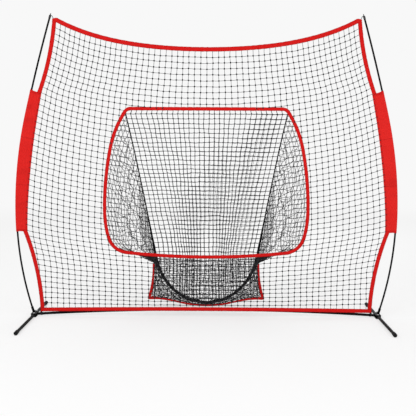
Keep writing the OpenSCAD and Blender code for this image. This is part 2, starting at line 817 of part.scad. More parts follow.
// An elastic loop from the net's top corner round the nose of the pole's tip
module corner_loop() {
    cord_r = 1.2;
    hook_r = nose_d / 2 + soft_gap + cord_r;
    hook_z = tip_wall + soft_gap + cord_r;
    side_reach = pole_r + slide_gap + tip_wall + soft_gap + 2 * cord_r;
    at = pose(bow_path, bow_length);
    function by_nose(x, y, z) = [
        at[0][0] + x * cos(at[1]) + z * sin(at[1]), y, at[0][1] - x * sin(at[1]) + z * cos(at[1])
    ];
    anchor = [top_corner[0] + binding_w - 6, binding_back + soft_gap + cord_r,
        top_corner[1] + top_binding_w - 8];
    color(plastic_black)
        piping(concat(
            [anchor, by_nose(-side_reach, -hook_r, hook_z)],
            [for (a = [-90:15:90]) by_nose(hook_r * cos(a), hook_r * sin(a), hook_z)],
            [by_nose(-side_reach, hook_r, hook_z), anchor + [-1, 2 * cord_r + soft_gap, 1]]
        ), cord_r, 6);
}

// A strap round the crossbar's end, with a tab behind the net's bottom corner
module bottom_tie() {
    tie_w = 12;
    tie_inset = 31;
    strap_t = 1.5;
    at = pose(crossbar_path, crossbar_end - tie_inset);
    tab = net_bottom - 6 - at[0][1];
    strap_r = crossbar_d / 2 + soft_gap;
    color(plastic_black)
        at_path(crossbar_path, crossbar_end - tie_inset)
            linear_extrude(tie_w)
                difference() {
                    union() {
                        circle(strap_r + strap_t, $fn = round_fn);
                        translate([-tab, binding_back + soft_gap])
                            square([tab, strap_t]);
                    }
                    circle(strap_r, $fn = round_fn);
                }
}

// ---- Ball pocket ------------------------------------------------------------

function mirror_x(p) = [-p[0], p[1], p[2]];
function both_sides(points) = concat(points,
    [for (k = [len(points) - 2:-1:0]) mirror_x(points[k])]);

// The pocket's back: from the opening's top edge down between the seams to the toe
module pocket_back() {
    last = 0.98;
    head = [opening_top[0] + 10, cloth_y, opening_top[1]];
    edges = concat([head], [for (k = [0:26]) seam_inside(last * k / 26)]);
    rows = [for (i = [0:len(edges) - 1])
        let (e = edges[i], belly = pocket_belly * sin(180 * i / (len(edges) - 1)))
        [for (u = [-1:1 / 6:1.01]) [u * e[0], e[1] + belly * (1 - u * u), e[2]]]
    ];
    color(net_black)
        sheet(rows, pocket_cloth);
}

// The pocket's side: one strip of net from the opening's edge and the apron's edge back to
// the seam, down one side, under the toe and up the other side
module pocket_gusset() {
    split = 0.56;
    function strip_row(front, t) =
        let (
            rear = seam(t),
            dir = unit(rear - front),
            slant = norm(cross(dir, seam_along(t))),
            width = norm(rear - front) - seam_room(t) / slant
        )
        [for (q = [0:0.25:1]) front + dir * width * q];
    upper = [for (k = [0:22])
        let (q = k / 22, at = pose(opening_path, shoulder_at + (gusset_reach - shoulder_at) * q))
        strip_row([at[0][0], cloth_y, at[0][1]], 0.01 + (split - 0.01) * q)
    ];
    side = [for (k = [0:6])
        let (q = k / 6)
        strip_row(bezier(apron_side, 0.1 + 0.9 * q) + [0, trim_room, 0], split + 0.02 + 0.14 * q)
    ];
    hem = [for (k = [1:8])
        let (q = k / 8, t0 = split + 0.16)
        strip_row(bezier(apron_hem, q) + [0, trim_room, 0], t0 + (1 - t0) * q)
    ];
    right = concat(upper, side, hem);
    left = [for (k = [len(right) - 2:-1:0]) [for (p = right[k]) mirror_x(p)]];
    color(net_black)
        sheet(concat(right, left), pocket_cloth);
}

module pocket_seam() {
    color(plastic_black)
        piping(both_sides([for (k = [0:30]) seam(k / 30)]), [for (k = [-30:30]) seam_r(1 - abs(k) / 30)]);
}

// The net panel that hangs from the opening's bottom edge in front of the pocket's toe
module pocket_apron() {
    top_x = apron_head[0] - trim_room;
    function side_in(w) = bezier(apron_side, w) + trim_room * [-1, 0, w];
    function hem_in(q) = bezier(apron_hem, q) + trim_room * [q - 1, 0, 1];
    function top_in(q) = [q * top_x, apron_head[1], opening_bottom_z(q * top_x)];
    function half_point(q, w) =
        (1 - w) * top_in(q) + w * hem_in(1 - q)
        + q * (side_in(w) - (1 - w) * top_in(1) - w * hem_in(0));
    rows = [for (w = [0:1 / 8:1])
        [for (u = [-1:1 / 8:1]) u < 0 ? mirror_x(half_point(-u, w)) : half_point(u, w)]];
    color(net_black)
        sheet(rows, pocket_cloth);
}

module apron_binding() {
    half = concat([for (k = [0:9]) bezier(apron_side, k / 10)],
        [for (k = [0:10]) bezier(apron_hem, k / 10)]);
    color(cloth_red)
        piping(both_sides(half), trim_r);
}

// ---- Pieces -----------------------------------------------------------------

module left() {
    mirror([1, 0, 0])
        children();
}

left() crossbar();  // crossbar_left
crossbar();  // crossbar_right
crossbar_joiner();
left() snap_button(crossbar_mid + button_inset);  // snap_button_joiner_left
snap_button(crossbar_mid + button_inset);  // snap_button_joiner_right
left() snap_button(crossbar_end - button_inset);  // snap_button_corner_left
snap_button(crossbar_end - button_inset);  // snap_button_corner_right
left() button_spring(crossbar_mid + button_inset);  // button_spring_joiner_left
button_spring(crossbar_mid + button_inset);  // button_spring_joiner_right
left() button_spring(crossbar_end - button_inset);  // button_spring_corner_left
button_spring(crossbar_end - button_inset);  // button_spring_corner_right
left() corner_bracket();  // corner_bracket_left
corner_bracket();  // corner_bracket_right
left() pole_socket();  // pole_socket_left
pole_socket();  // pole_socket_right
left() leg(-1, front_leg_length);  // front_leg_left
leg(-1, front_leg_length);  // front_leg_right
left() leg(1, rear_leg_length);  // rear_leg_left
leg(1, rear_leg_length);  // rear_leg_right
left() leg_cap(-1, front_leg_length);  // leg_cap_front_left
leg_cap(-1, front_leg_length);  // leg_cap_front_right
left() leg_cap(1, rear_leg_length);  // leg_cap_rear_left
leg_cap(1, rear_leg_length);  // leg_cap_rear_right
left() pivot_pin(-pivot_offset);  // pivot_pin_front_left
pivot_pin(-pivot_offset);  // pivot_pin_front_right
left() pivot_pin(pivot_offset);  // pivot_pin_rear_left
pivot_pin(pivot_offset);  // pivot_pin_rear_right
left() pole_section(0);  // pole_lower_left
pole_section(0);  // pole_lower_right
left() pole_section(1);  // pole_middle_left
pole_section(1);  // pole_middle_right
left() pole_section(2);  // pole_upper_left
pole_section(2);  // pole_upper_right
left() pole_ferrules();  // pole_ferrules_left
pole_ferrules();  // pole_ferrules_right
left() shock_cord();  // shock_cord_left
shock_cord();  // shock_cord_right
left() pole_tip();  // pole_tip_left
pole_tip();  // pole_tip_right
main_net();
top_binding();
bottom_binding();
left() side_binding();  // side_binding_left
side_binding();  // side_binding_right
target_binding();
left() sleeve();  // sleeve_left
sleeve();  // sleeve_right
left() corner_loop();  // corner_loop_left
corner_loop();  // corner_loop_right
left() bottom_tie();  // bottom_tie_left
bottom_tie();  // bottom_tie_right
pocket_back();
pocket_gusset();
pocket_seam();
pocket_apron();
apron_binding();
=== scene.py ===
import math

import bmesh
import bpy
import numpy as np
from mathutils import Matrix


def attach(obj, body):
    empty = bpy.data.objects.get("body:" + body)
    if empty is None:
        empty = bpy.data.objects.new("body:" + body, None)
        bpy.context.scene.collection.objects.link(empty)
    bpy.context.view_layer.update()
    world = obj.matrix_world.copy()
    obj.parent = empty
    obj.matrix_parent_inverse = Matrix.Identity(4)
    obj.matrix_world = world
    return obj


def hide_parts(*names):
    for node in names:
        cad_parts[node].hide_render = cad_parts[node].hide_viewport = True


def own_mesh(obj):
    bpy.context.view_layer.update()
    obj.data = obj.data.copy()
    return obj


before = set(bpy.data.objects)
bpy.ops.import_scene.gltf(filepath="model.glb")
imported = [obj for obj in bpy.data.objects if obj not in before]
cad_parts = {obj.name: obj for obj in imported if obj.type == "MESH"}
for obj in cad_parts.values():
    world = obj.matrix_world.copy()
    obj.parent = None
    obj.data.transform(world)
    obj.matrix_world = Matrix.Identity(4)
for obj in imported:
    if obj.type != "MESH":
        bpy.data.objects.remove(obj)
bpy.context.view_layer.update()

# Shapes are worked out in millimetres, and put_mesh makes them metres.
MM = 0.001
TURN = 2 * math.pi


def unit(v):
    """Each vector divided by its length."""
    return v / np.linalg.norm(v, axis=-1, keepdims=True)


def show(name, data):
    """A new object in the scene."""
    thing = bpy.data.objects.new(name, data)
    bpy.context.scene.collection.objects.link(thing)
    return thing


def stand(name, data, at, right, up):
    """Puts a camera or lamp at a place in metres. It looks away from right x up."""
    thing = show(name, data)
    turn = Matrix(np.stack([right, up, np.cross(right, up)], -1).tolist()).to_4x4()
    thing.matrix_world = Matrix.Translation(at) @ turn
    return thing


# ---- Camera ---------------------------------------------------------------------

CAMERA_AT = (28.76, -4203.3, 1116.8)
YAW_PITCH_ROLL = (-0.004255, 0.103441, 0.004053)
FOCAL_PER_WIDTH, SENSOR = 687.26 / 416, 36.0


def add_camera():
    """In front of the net: it looks along the yaw and pitch, then rolls about that line."""
    (cy, cp, cr), (sy, sp, sr) = (map(f, YAW_PITCH_ROLL) for f in (math.cos, math.sin))
    level = np.array([cy, -sy, 0.0])
    upright = np.cross(level, [sy * cp, cy * cp, -sp])
    data = bpy.data.cameras.new("camera")
    data.sensor_fit = "HORIZONTAL"
    data.sensor_width = SENSOR
    data.lens = SENSOR * FOCAL_PER_WIDTH
    data.clip_start, data.clip_end = 0.05, 400.0
    right, up = cr * level + sr * upright, cr * upright - sr * level
    bpy.context.scene.camera = stand("camera", data, [MM * c for c in CAMERA_AT], right, up)


add_camera()


# ---- Materials ------------------------------------------------------------------

class Value:
    """A node's output in an expression: each operator adds a Math node."""

    def __init__(self, finish, socket):
        self.finish, self.socket = finish, socket

    def math(self, operation, *values):
        return self.finish.node("ShaderNodeMath", {"operation": operation}, dict(enumerate(values)))

    def __add__(self, other):
        return self.math("ADD", self, other)

    def __sub__(self, other):
        return self.math("SUBTRACT", self, other)

    def __rsub__(self, other):
        return self.math("SUBTRACT", other, self)

    def __mul__(self, other):
        return self.math("MULTIPLY", self, other)

    def __abs__(self):
        return self.math("ABSOLUTE", self)

    __radd__, __rmul__ = __add__, __mul__

    def sine(self):
        return self.math("SINE", self)

    def fract(self):
        return self.math("FRACT", self)

    def most(self, other):
        return self.math("MAXIMUM", self, other)

    def rise(self, low, high):
        """0 below low, 1 above high, and a smooth step between."""
        return self.finish.node(
            "ShaderNodeMapRange", {"interpolation_type": "SMOOTHSTEP"},
            {"Value": self, "From Min": low, "From Max": high},
        )


class Finish:
    """A procedural material. What is the same all over is set on the shader's own sockets."""

    def __init__(self, name, **constants):
        self.material = bpy.data.materials.new(name)
        self.material.use_nodes = True
        self.tree = self.material.node_tree
        self.shader = self.tree.nodes["Principled BSDF"]
        for key, value in constants.items():
            socket = key.replace("_", " ").title().replace("Ior", "IOR")
            self.shader.inputs[socket].default_value = value
        self.coords = self.tree.nodes.new("ShaderNodeTexCoord")

    def node(self, kind, settings=None, inputs=None, out=0):
        """Adds a node with its settings, then its inputs' values or links. Returns one output."""
        made = self.tree.nodes.new(kind)
        for key, value in (settings or {}).items():
            setattr(made, key, value)
        for key, value in (inputs or {}).items():
            if isinstance(value, Value):
                self.tree.links.new(value.socket, made.inputs[key])
            else:
                made.inputs[key].default_value = value
        return Value(self, made.outputs[out])

    def feed(self, **links):
        """Links values to the shader's sockets."""
        for key, value in links.items():
            self.tree.links.new(value.socket, self.shader.inputs[key.replace("_", " ").title()])
        return self.material

    def place(self, kind="Object", scale=(1, 1, 1), turn=(0, 0, 0)):
        """Object or UV coordinates, scaled and turned."""
        return self.node(
            "ShaderNodeMapping", None,
            {"Vector": Value(self, self.coords.outputs[kind]), "Scale": scale, "Rotation": turn},
        )

    def axis(self, place, name):
        """One coordinate of a place."""
        return self.node("ShaderNodeSeparateXYZ", None, {"Vector": place}, out=name)

    def across_along(self):
        """The two UV coordinates."""
        uv = self.place("UV")
        return self.axis(uv, "X"), self.axis(uv, "Y")

    def noise(self, scale, detail=3.0, roughness=0.55):
        """Noise on Object coordinates."""
        return self.streaks((1, 1, 1), detail, roughness, size=scale)

    def streaks(self, scale, detail=3.0, roughness=0.55, kind="Object", turn=(0, 0, 0), size=1.0):
        """Noise drawn out along the axes whose scale is small."""
        place = self.place(kind, scale, turn)
        return self.node(
            "ShaderNodeTexNoise", None,
            {"Vector": place, "Scale": size, "Detail": detail, "Roughness": roughness},
        )

    def cells(self, scale):
        """The distance to the nearest of scattered points."""
        return self.node("ShaderNodeTexVoronoi", None, {"Vector": self.place(), "Scale": scale})

    def blend(self, mask, first, second):
        """The first colour where the mask is 0, the second where it is 1.

        The Mix node's factor is its input 0. Its colours are inputs 6 and 7 and output 2.
        """
        colours = {0: mask, 6: first, 7: second}
        return self.node("ShaderNodeMix", {"data_type": "RGBA"}, colours, out=2)

    def bump(self, height, distance):
        """A normal for a height, of which 1 stands for a distance in metres."""
        heights = {"Height": height, "Distance": distance, "Strength": 1.0}
        return self.node("ShaderNodeBump", None, heights)


def rgb(red, green, blue):
    """A colour from 0 to 255 as it shows on a screen, made linear."""
    shares = np.array([red, green, blue]) / 255
    return (*np.where(shares < 0.04045, shares / 12.92, ((shares + 0.055) / 1.055) ** 2.4), 1.0)


def powder_coat():
    """Satin black coat: orange-peel bump, streaks rubbed along the tube, dust near the ground."""
    f = Finish("powder_coat", roughness=0.4, specular_ior_level=0.04)
    peel, cloud = f.noise(750, 2.0), f.noise(9, 4.0)
    rubbed = f.streaks((260, 14, 260), 4.0, 0.7).rise(0.62, 0.78)
    dust = (1 - f.axis(f.place(), "Z").rise(0.0, 0.035)) * cloud.rise(0.35, 0.7)
    base = f.blend(cloud, rgb(2, 2, 3), rgb(7, 7, 8))
    worn = f.blend(rubbed * 0.15, base, rgb(36, 36, 38))
    return f.feed(
        base_color=f.blend(dust * 0.03, worn, rgb(110, 104, 94)),
        roughness=cloud * 0.16 + 0.3 + rubbed * 0.15 + dust * 0.2,
        normal=f.bump(peel + rubbed * -0.4, 0.00018),
    )


def glass_fibre():
    """Smooth black tube: long faint fibre streaks, with fine scuffs round it."""
    f = Finish("glass_fibre", roughness=0.3, specular_ior_level=0.04)
    streak = f.streaks((700, 700, 9))
    scuff = f.streaks((40, 40, 420), 3.0, 0.7).rise(0.64, 0.8)
    base = f.blend(streak, rgb(2, 2, 3), rgb(8, 8, 9))
    return f.feed(
        base_color=f.blend(scuff * 0.15, base, rgb(40, 40, 43)),
        roughness=streak * 0.14 + 0.28 + scuff * 0.3,
        normal=f.bump(streak, 0.00006),
    )


def cap_rubber():
    """Matte moulded rubber: a pebbled grain, greyer where it is rubbed on the ground."""
    f = Finish("cap_rubber", roughness=0.75, specular_ior_level=0.12)
    grain, cloud = f.cells(900.0), f.noise(45, 4.0)
    scuffed = (1 - f.axis(f.place(), "Z").rise(0.0, 0.006)) * cloud.rise(0.3, 0.6)
    base = f.blend(cloud, rgb(10, 10, 11), rgb(22, 22, 23))
    return f.feed(
        base_color=f.blend(scuffed * 0.3, base, rgb(70, 68, 64)),
        roughness=cloud * 0.15 + 0.66,
        normal=f.bump(grain * 0.6 + cloud, 0.00025),
    )


def tip_plastic():
    """Moulded black plastic with a fine spark-eroded grain and faint flow marks."""
    f = Finish("tip_plastic", roughness=0.5)
    grain, flow = f.noise(1400, 2.0), f.noise(70)
    return f.feed(
        base_color=f.blend(flow, rgb(16, 16, 17), rgb(30, 30, 32)),
        roughness=grain * 0.2 + 0.4,
        normal=f.bump(grain, 0.0001),
    )


def zinc_steel():
    """Zinc plate on steel: brushed along the part, with cloudy spangle and dull patches."""
    f = Finish("zinc_steel", metallic=1.0, roughness=0.35)
    brushed, spangle = f.streaks((60, 1600, 1600)), f.cells(260.0)
    dull = f.noise(35, 4.0).rise(0.45, 0.7)
    plate = f.blend(spangle, rgb(188, 190, 194), rgb(214, 214, 212))
    return f.feed(
        base_color=f.blend(dull * 0.6, plate, rgb(150, 148, 142)),
        roughness=brushed * 0.16 + dull * 0.2 + 0.22,
        normal=f.bump(brushed, 0.00005),
    )


def twisted_cord(name, pitch, dark, light):
    """Net cord: twisted strands, as stripes of u turns plus v over the pitch, and fibres."""
    f = Finish(name, roughness=0.82, sheen_weight=0.05, specular_ior_level=0.12)
    around, along = f.across_along()
    strand = abs((around * (2 * TURN) + along * (TURN / pitch)).sine())
    fibre = f.streaks((9, 2600, 1), 2.0, kind="UV")
    return f.feed(
        base_color=f.blend((strand * 0.6 + fibre * 0.4) * (f.noise(6) * 0.6 + 0.7), dark, light),
        roughness=fibre * 0.12 + 0.76,
        normal=f.bump(strand + fibre * 0.3, 0.0004),
    )


def braided_cord(name, pitch, dark, light):
    """Braided sheath: two sets of stripes that cross, one turning each way round the cord."""
    f = Finish(name, roughness=0.7, sheen_weight=0.1)
    u, v = f.across_along()
    around, along = u * (3 * TURN), v * (TURN / pitch)
    plait = (around + along).sine() * (around - along).sine() * 0.5 + 0.5
    cloud = f.noise(80)
    return f.feed(
        base_color=f.blend(plait * (cloud * 0.5 + 0.6), dark, light),
        roughness=cloud * 0.2 + 0.6,
        normal=f.bump(plait, 0.0003),
    )


def weave_height(u, v, pitch):
    """Plain weave: warp and weft ribs that take turns on top, from the product of two waves."""
    across, along = u * (TURN / pitch), v * (TURN / pitch)
    on_top = ((across * 0.5).sine() * (along * 0.5).sine()).rise(-0.2, 0.2)
    return (across.sine() * on_top + along.sine() * (1 - on_top)) * 0.5 + 0.5


def stitches(across, along, inset, length=4.2, width=0.55):
    """A row of stitches at an inset from the middle, on both sides: 1 on the thread, 0 off it."""
    line = 1 - abs(abs(across) - inset * MM).rise(width * MM * 0.5, width * MM)
    dash = abs((along * (1 / (length * MM))).fract() - 0.5)
    return line * (1 - dash.rise(0.34, 0.42))


def red_binding(name, half_width):
    """Red folded tape: woven ribs, painted shade on its rolled edges past the stitch rows, and a
    thread in each row.
    """
    f = Finish(name, roughness=0.72, sheen_weight=0.04, specular_ior_level=0.12)
    across, along = f.across_along()
    weave = weave_height(across, along, 0.9 * MM)
    edge = abs(across).rise((half_width - 4.6) * MM, (half_width - 2.4) * MM)
    thread = stitches(across, along, half_width - 3.4)
    cloud = f.noise(14, 4.0)
    cloth = f.blend(cloud, rgb(196, 9, 7), rgb(210, 18, 14))
    # Painted shade: the band past each stitch row is darkened as shade where the tape's fold rolls
    # over.
    shaded = f.blend(edge * 0.6, cloth, rgb(170, 1, 2))
    ribbed = f.blend(weave * 0.2, shaded, rgb(142, 3, 4))
    return f.feed(
        base_color=f.blend(thread * 0.8, ribbed, rgb(142, 6, 8)),
        roughness=weave * 0.15 + 0.62,
        normal=f.bump(weave * 0.35 + thread * 0.8 + (1 - edge) * 0.6 + cloud * 0.4, 0.0005),
    )


def black_webbing(name, half_width):
    """Black woven strap: a herringbone of ribs, a tight selvedge and slight fading."""
    f = Finish(name, roughness=0.78, sheen_weight=0.05, specular_ior_level=0.12)
    across, along = f.across_along()
    bone = abs((across * (1 / (6 * MM))).fract() - 0.5)
    ribs = (bone * 18.0 + along * (TURN / (1.6 * MM))).sine() * 0.5 + 0.5
    selvedge = abs(across).rise((half_width - 1.2) * MM, half_width * MM)
    cloud = f.noise(25, 4.0)
    return f.feed(
        base_color=f.blend(ribs * 0.5 + cloud * 0.4, rgb(12, 12, 13), rgb(38, 38, 41)),
        roughness=ribs * 0.14 + 0.68,
        normal=f.bump(ribs * (1 - selvedge) + selvedge * 0.7 + cloud * 0.5, 0.0004),
    )


def gathered_net():
    """Net bunched into a roll: pressed knots and cords, as crossed stripes broken up by noise."""
    f = Finish("gathered_net", roughness=0.85, sheen_weight=0.02, specular_ior_level=0.06)
    u, v = f.across_along()
    around, along = u * (4 * TURN), v * (TURN / (9 * MM))
    pressed = abs((around + along).sine()) * 0.5 + abs((around * 1.6 - along * 0.8).sine()) * 0.5
    lump = f.noise(160, 4.0, 0.7)
    return f.feed(
        base_color=f.blend(pressed * lump.rise(0.3, 0.7), rgb(7, 7, 8), rgb(30, 30, 32)),
        roughness=lump * 0.2 + 0.7,
        normal=f.bump(pressed * 0.7 + lump, 0.0012),
    )


def red_sleeve(length):
    """Red coated cloth. v runs along it: a fine weave, stitched hems along its edges, two cross
    seams at a sixth of the length from the middle, and darker streaks of painted shade standing in
    for slack folds."""
    f = Finish("red_sleeve", roughness=0.6, specular_ior_level=0.12)
    across, along = f.across_along()
    weave = weave_height(across, along, 0.8 * MM)
    inner_hem = 1 - across.rise(0.0085, 0.0105)
    from_middle = abs(along - length * 0.5 * MM)
    hems = inner_hem.most(from_middle.rise((length * 0.5 - 18) * MM, (length * 0.5 - 15) * MM))
    seam_line = 1 - abs(from_middle - length / 6 * MM).rise(0.0006, 0.0022)
    hem_thread = stitches(across - 0.0105, along, 0.0, 3.6)
    cloth = f.blend(f.noise(5, 4.0), rgb(203, 22, 18), rgb(216, 32, 27))
    # Painted shade: darker streaks stand in for the shade of slack folds in the cloth.
    slack = f.streaks((5, 5, 13), 2.0, turn=(0, 0.8, 0)).rise(0.5, 0.72)
    shaded = f.blend(slack * 0.4, cloth, rgb(174, 12, 10))
    folded = f.blend(hems * 0.7, shaded, rgb(188, 9, 8))
    sewn = f.blend(seam_line.most(hem_thread) * 0.55, folded, rgb(164, 8, 8))
    crease = f.streaks((26, 26, 3), 4.0)
    return f.feed(
        base_color=f.blend(weave * 0.1, sewn, rgb(160, 16, 16)),
        roughness=weave * 0.12 + 0.5,
        normal=f.bump(weave * 0.12 + crease * 1.6 + hems * 0.8 - seam_line * 0.8, 0.0009),
    )


# ---- Mesh tools -----------------------------------------------------------------

def put_mesh(name, faces, finish, replaced=()):
    """Makes a smooth-shaded piece that rides on the frame, in place of the nodes that it replaces.

    faces holds points in mm, the corners of its faces in one row, the faces' sizes, and a UV for
    each corner.
    """
    points, loops, sizes, uv = faces
    mesh = bpy.data.meshes.new(name)
    mesh.vertices.add(len(points))
    mesh.vertices.foreach_set("co", (points * MM).astype(np.float32).ravel())
    mesh.loops.add(len(loops))
    mesh.loops.foreach_set("vertex_index", loops.astype(np.int32))
    mesh.polygons.add(len(sizes))
    mesh.polygons.foreach_set("loop_start", (np.cumsum(sizes) - sizes).astype(np.int32))
    mesh.polygons.foreach_set("loop_total", sizes.astype(np.int32))
    mesh.polygons.foreach_set("use_smooth", np.ones(len(sizes), bool))
    mesh.uv_layers.new(name="UVMap").data.foreach_set("uv", uv.astype(np.float32).ravel())
    mesh.update(calc_edges=True)
    mesh.validate()
    return put_piece(name, mesh, finish, replaced)


def put_piece(name, mesh, finish, replaced=()):
    """Shows a mesh in one finish, riding on the frame."""
    mesh.materials.append(finish)
    piece = show(name, mesh)
    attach(piece, "frame")
    if replaced:
        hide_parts(*replaced)
    return piece


def tubes(path, side, profile, girth=None):
    """Carries closed profiles along paths.

    Each point is the path's, plus the profile's first number along the side direction, plus its
    second along the direction square to the side and the path. Neighbouring rings are joined by
    quads and both ends are capped. u is the girth at a corner, or the share of the way round where
    none is given, and v the distance along the path.
    """
    along = unit(np.gradient(path, axis=-2))
    side = np.broadcast_to(side, path.shape)
    side = unit(side - (side * along).sum(-1, keepdims=True) * along)
    up = np.cross(along, side)
    profile = np.broadcast_to(profile, path.shape[:-1] + profile.shape[-2:])
    first, second = profile[..., :1], profile[..., 1:]
    rings = path[..., None, :] + first * side[..., None, :] + second * up[..., None, :]
    count, rows, cols = shape = rings.shape[:3]
    ids = np.arange(count * rows * cols).reshape(shape)
    girth = np.linspace(0, 1, cols + 1) if girth is None else girth
    u, u_next = np.broadcast_to(girth[:-1], shape), np.broadcast_to(girth[1:], shape)
    steps = np.linalg.norm(np.diff(path, axis=-2), axis=-1)
    v = np.concatenate([np.zeros((count, 1)), np.cumsum(steps, -1)], -1)[..., None] * MM
    v = np.broadcast_to(v, shape)

    def by_quad(here, beside_it):
        return np.stack([here[:, :-1], beside_it[:, :-1], beside_it[:, 1:], here[:, 1:]], -1)

    def by_cap(values):
        return np.concatenate([values[:, 0, ::-1], values[:, -1]])

    walls, caps = by_quad(ids, np.roll(ids, -1, axis=2)), by_cap(ids)
    uv = np.stack([by_quad(u, u_next), by_quad(v, v)], -1).reshape(-1, 2)
    cap_uv = np.stack([by_cap(u), by_cap(v)], -1).reshape(-1, 2)
    sizes = np.concatenate([np.full(walls.size // 4, 4), np.full(len(caps), cols)])
    return rings.reshape(-1, 3), np.append(walls, caps), sizes, np.concatenate([uv, cap_uv])


def joined(*parts):
    """Several sets of faces as one."""
    starts = np.cumsum([0] + [len(p[0]) for p in parts[:-1]])
    points, loops, sizes, uv = zip(*parts)
    loops = [row + start for row, start in zip(loops, starts)]
    return tuple(np.concatenate(rows) for rows in (points, loops, sizes, uv))


def circle(sides):
    """A unit circle that turns from the side towards the up direction."""
    angle = TURN * np.arange(sides) / sides
    return np.stack([np.cos(angle), np.sin(angle)], -1)


def tape(half_width, half_thick, parts=5):
    """A folded tape's outline: flat, with rounded edges, as a superellipse of power 4."""
    q = np.linspace(-1, 1, 2 * parts + 1)
    depth = half_thick * np.maximum((1 - q ** 4) ** 0.25, 0.22)
    low = np.stack([q * half_width, -depth], -1)
    return np.concatenate([low, -low])


def tape_girth(outline):
    """A tape's UV across it, in metres: its outline's own width coordinate."""
    return np.append(outline[:, 0], outline[0, 0]) * MM


def ripple(points, wavelength, seed):
    """Smooth noise of about -1 to 1: a sum of waves in random directions with random starts."""
    rng = np.random.default_rng(seed)
    directions = unit(rng.normal(size=(6, points.shape[-1])))
    phase = points @ directions.T * (TURN / wavelength) * rng.uniform(0.6, 1.7, 6)
    return np.sin(phase + rng.uniform(0, TURN, 6)).sum(-1) / 2.6


def ripples(points, wavelength, seed):
    """Three noises, one for each direction."""
    return np.stack([ripple(points, wavelength, seed + k) for k in range(3)], -1)


def crumpled(grid, amount, seed, wavelengths=(90, 37)):
    """A grid whose crossings stray by the amount times a long noise and 0.6 of a short one."""
    long_wave, short_wave = wavelengths
    stray = ripples(grid, long_wave, seed) + 0.6 * ripples(grid, short_wave, seed + 5)
    return grid + amount * stray


def smooth(x, low, high):
    """A smooth step from 0 to 1."""
    s = np.clip((x - low) / (high - low), 0, 1)
    return s * s * (3 - 2 * s)


def curve_lengths(points):
    """The distance along a row of points."""
    return np.concatenate([[0], np.cumsum(np.linalg.norm(np.diff(points, axis=0), axis=-1))])


def between(at, places, points):
    """A row of points read at other places along it."""
    return np.stack([np.interp(at, places, column) for column in points.T], -1)


def evenly(points, count):
    """Points at equal distances along a row of points."""
    length = curve_lengths(points)
    return between(np.linspace(0, length[-1], count), length, points)


def bezier(c, t):
    """A cubic curve: its four points weighted by (1-t)^3, 3t(1-t)^2, 3t^2(1-t) and t^3."""
    c, t = np.asarray(c, float), np.asarray(t, float)[..., None]
    s = 1 - t
    return s ** 3 * c[0] + 3 * t * s ** 2 * c[1] + 3 * t * t * s * c[2] + t ** 3 * c[3]


def mirror(points):
    """The same points on the other side of the middle."""
    return points * np.array([-1.0] + [1.0] * (points.shape[-1] - 1))


def both_sides(points):
    """A row of points that ends in the middle, carried on up the other side."""
    return np.concatenate([points, mirror(points[-2::-1])])


def shares(columns, rows):
    """A grid of shares: from -1 to 1 along its rows and from 0 to 1 from row to row."""
    return np.meshgrid(np.linspace(-1, 1, columns + 1), np.linspace(0, 1, rows + 1))


def both(*grids):
    """Each grid and then its mirror image, whose columns run the other way."""
    return [side for grid in grids for side in (grid, mirror(grid)[:, ::-1])]


# ---- Sizes, as in the frame -----------------------------------------------------

HALF_SPAN = 1067.0
LEG_HEIGHT = 11.7
NET_Y = -10.0
BINDING_T = 3.0
BINDING_BACK = NET_Y + BINDING_T / 2
SOFT_GAP = 0.3
BINDING_W, TOP_BINDING_W, RING_W = 20.0, 24.0, 19.0
SECTION, LEAN, MIDDLE_BEND, UPPER_BEND = 615.0, 17.2, 13.3, 3.4
FOOT_OFFSET, LEG_R, BRACKET_WALL = 9.3, 9.0, 2.0
SLEEVE_START, SLEEVE_LENGTH, SLEEVE_END_W, SLEEVE_BELLY = 514.0, 876.0, 60.0, 14.0
POLE_R, CROSSBAR_R, CROSSBAR_RISE = 5.5, 8.0, 32.0
TOP_CORNER_INSET, TOP_CORNER_DROP = 43.0, 26.0
BOTTOM_CORNER_INSET, NET_BOTTOM, BOTTOM_RISE = 57.0, 51.0, 7.0
TOP_SAG, TOP_HANG = 172.0, 2.3
LOW_EDGE_BOW, HIGH_EDGE_BOW = 19.0, 14.0
SIDES = (("left", -1), ("right", 1))


def xz(x, z, y=0.0):
    """Points or directions with that X and Z, and the same Y."""
    return np.stack(np.broadcast_arrays(x, y, z), -1)


def in_plane(points, y=NET_Y):
    """X and Z as points of the net's plane."""
    return xz(points[..., 0], points[..., 1], y)


def chord(heading, bend, stretch):
    """How far a stretch of an arc moves a point.

    For half its turn a, it is sin(a) / a of the stretch, towards the heading plus a.
    """
    half = bend * stretch / 2
    toward = np.stack([np.sin(heading + half), np.cos(heading + half)], -1)
    return (stretch * np.sinc(half / np.pi))[..., None] * toward


def pose(path, d):
    """Points and headings at distances along a path of arcs in the X-Z plane.

    A path is a start, a heading turned from +Z towards +X, and steps of a length and a turn.
    """
    start, heading, steps = path
    d = np.asarray(d, float)
    at, turned = np.zeros(d.shape + (2,)), np.zeros(d.shape)
    point, h, before = np.array(start, float), math.radians(heading), 0.0
    for k, (length, degrees) in enumerate(steps):
        bend = math.radians(degrees) / length
        here = d >= before if k else np.full(d.shape, True)
        at = np.where(here[..., None], point + chord(h, bend, d - before), at)
        turned = np.where(here, h + bend * (d - before), turned)
        point, before = point + chord(h, bend, np.float64(length)), before + length
        h += math.radians(degrees)
    return at, turned


def path_length(path):
    """The sum of the steps' lengths."""
    return sum(length for length, _ in path[2])


def beside(path, d, off):
    """Points at a distance to the right of a path."""
    at, h = pose(path, d)
    return at + np.asarray(off)[..., None] * np.stack([np.cos(h), -np.sin(h)], -1)


POLE_SEAT_Z = LEG_HEIGHT + LEG_R + 2 * SOFT_GAP + BRACKET_WALL
POLE_FOOT = (HALF_SPAN + FOOT_OFFSET, POLE_SEAT_Z + POLE_R * math.sin(math.radians(LEAN)))
BOW = (POLE_FOOT, LEAN, [(SECTION, -turn) for turn in (LEAN, MIDDLE_BEND, UPPER_BEND)])
BOW_LENGTH = path_length(BOW)

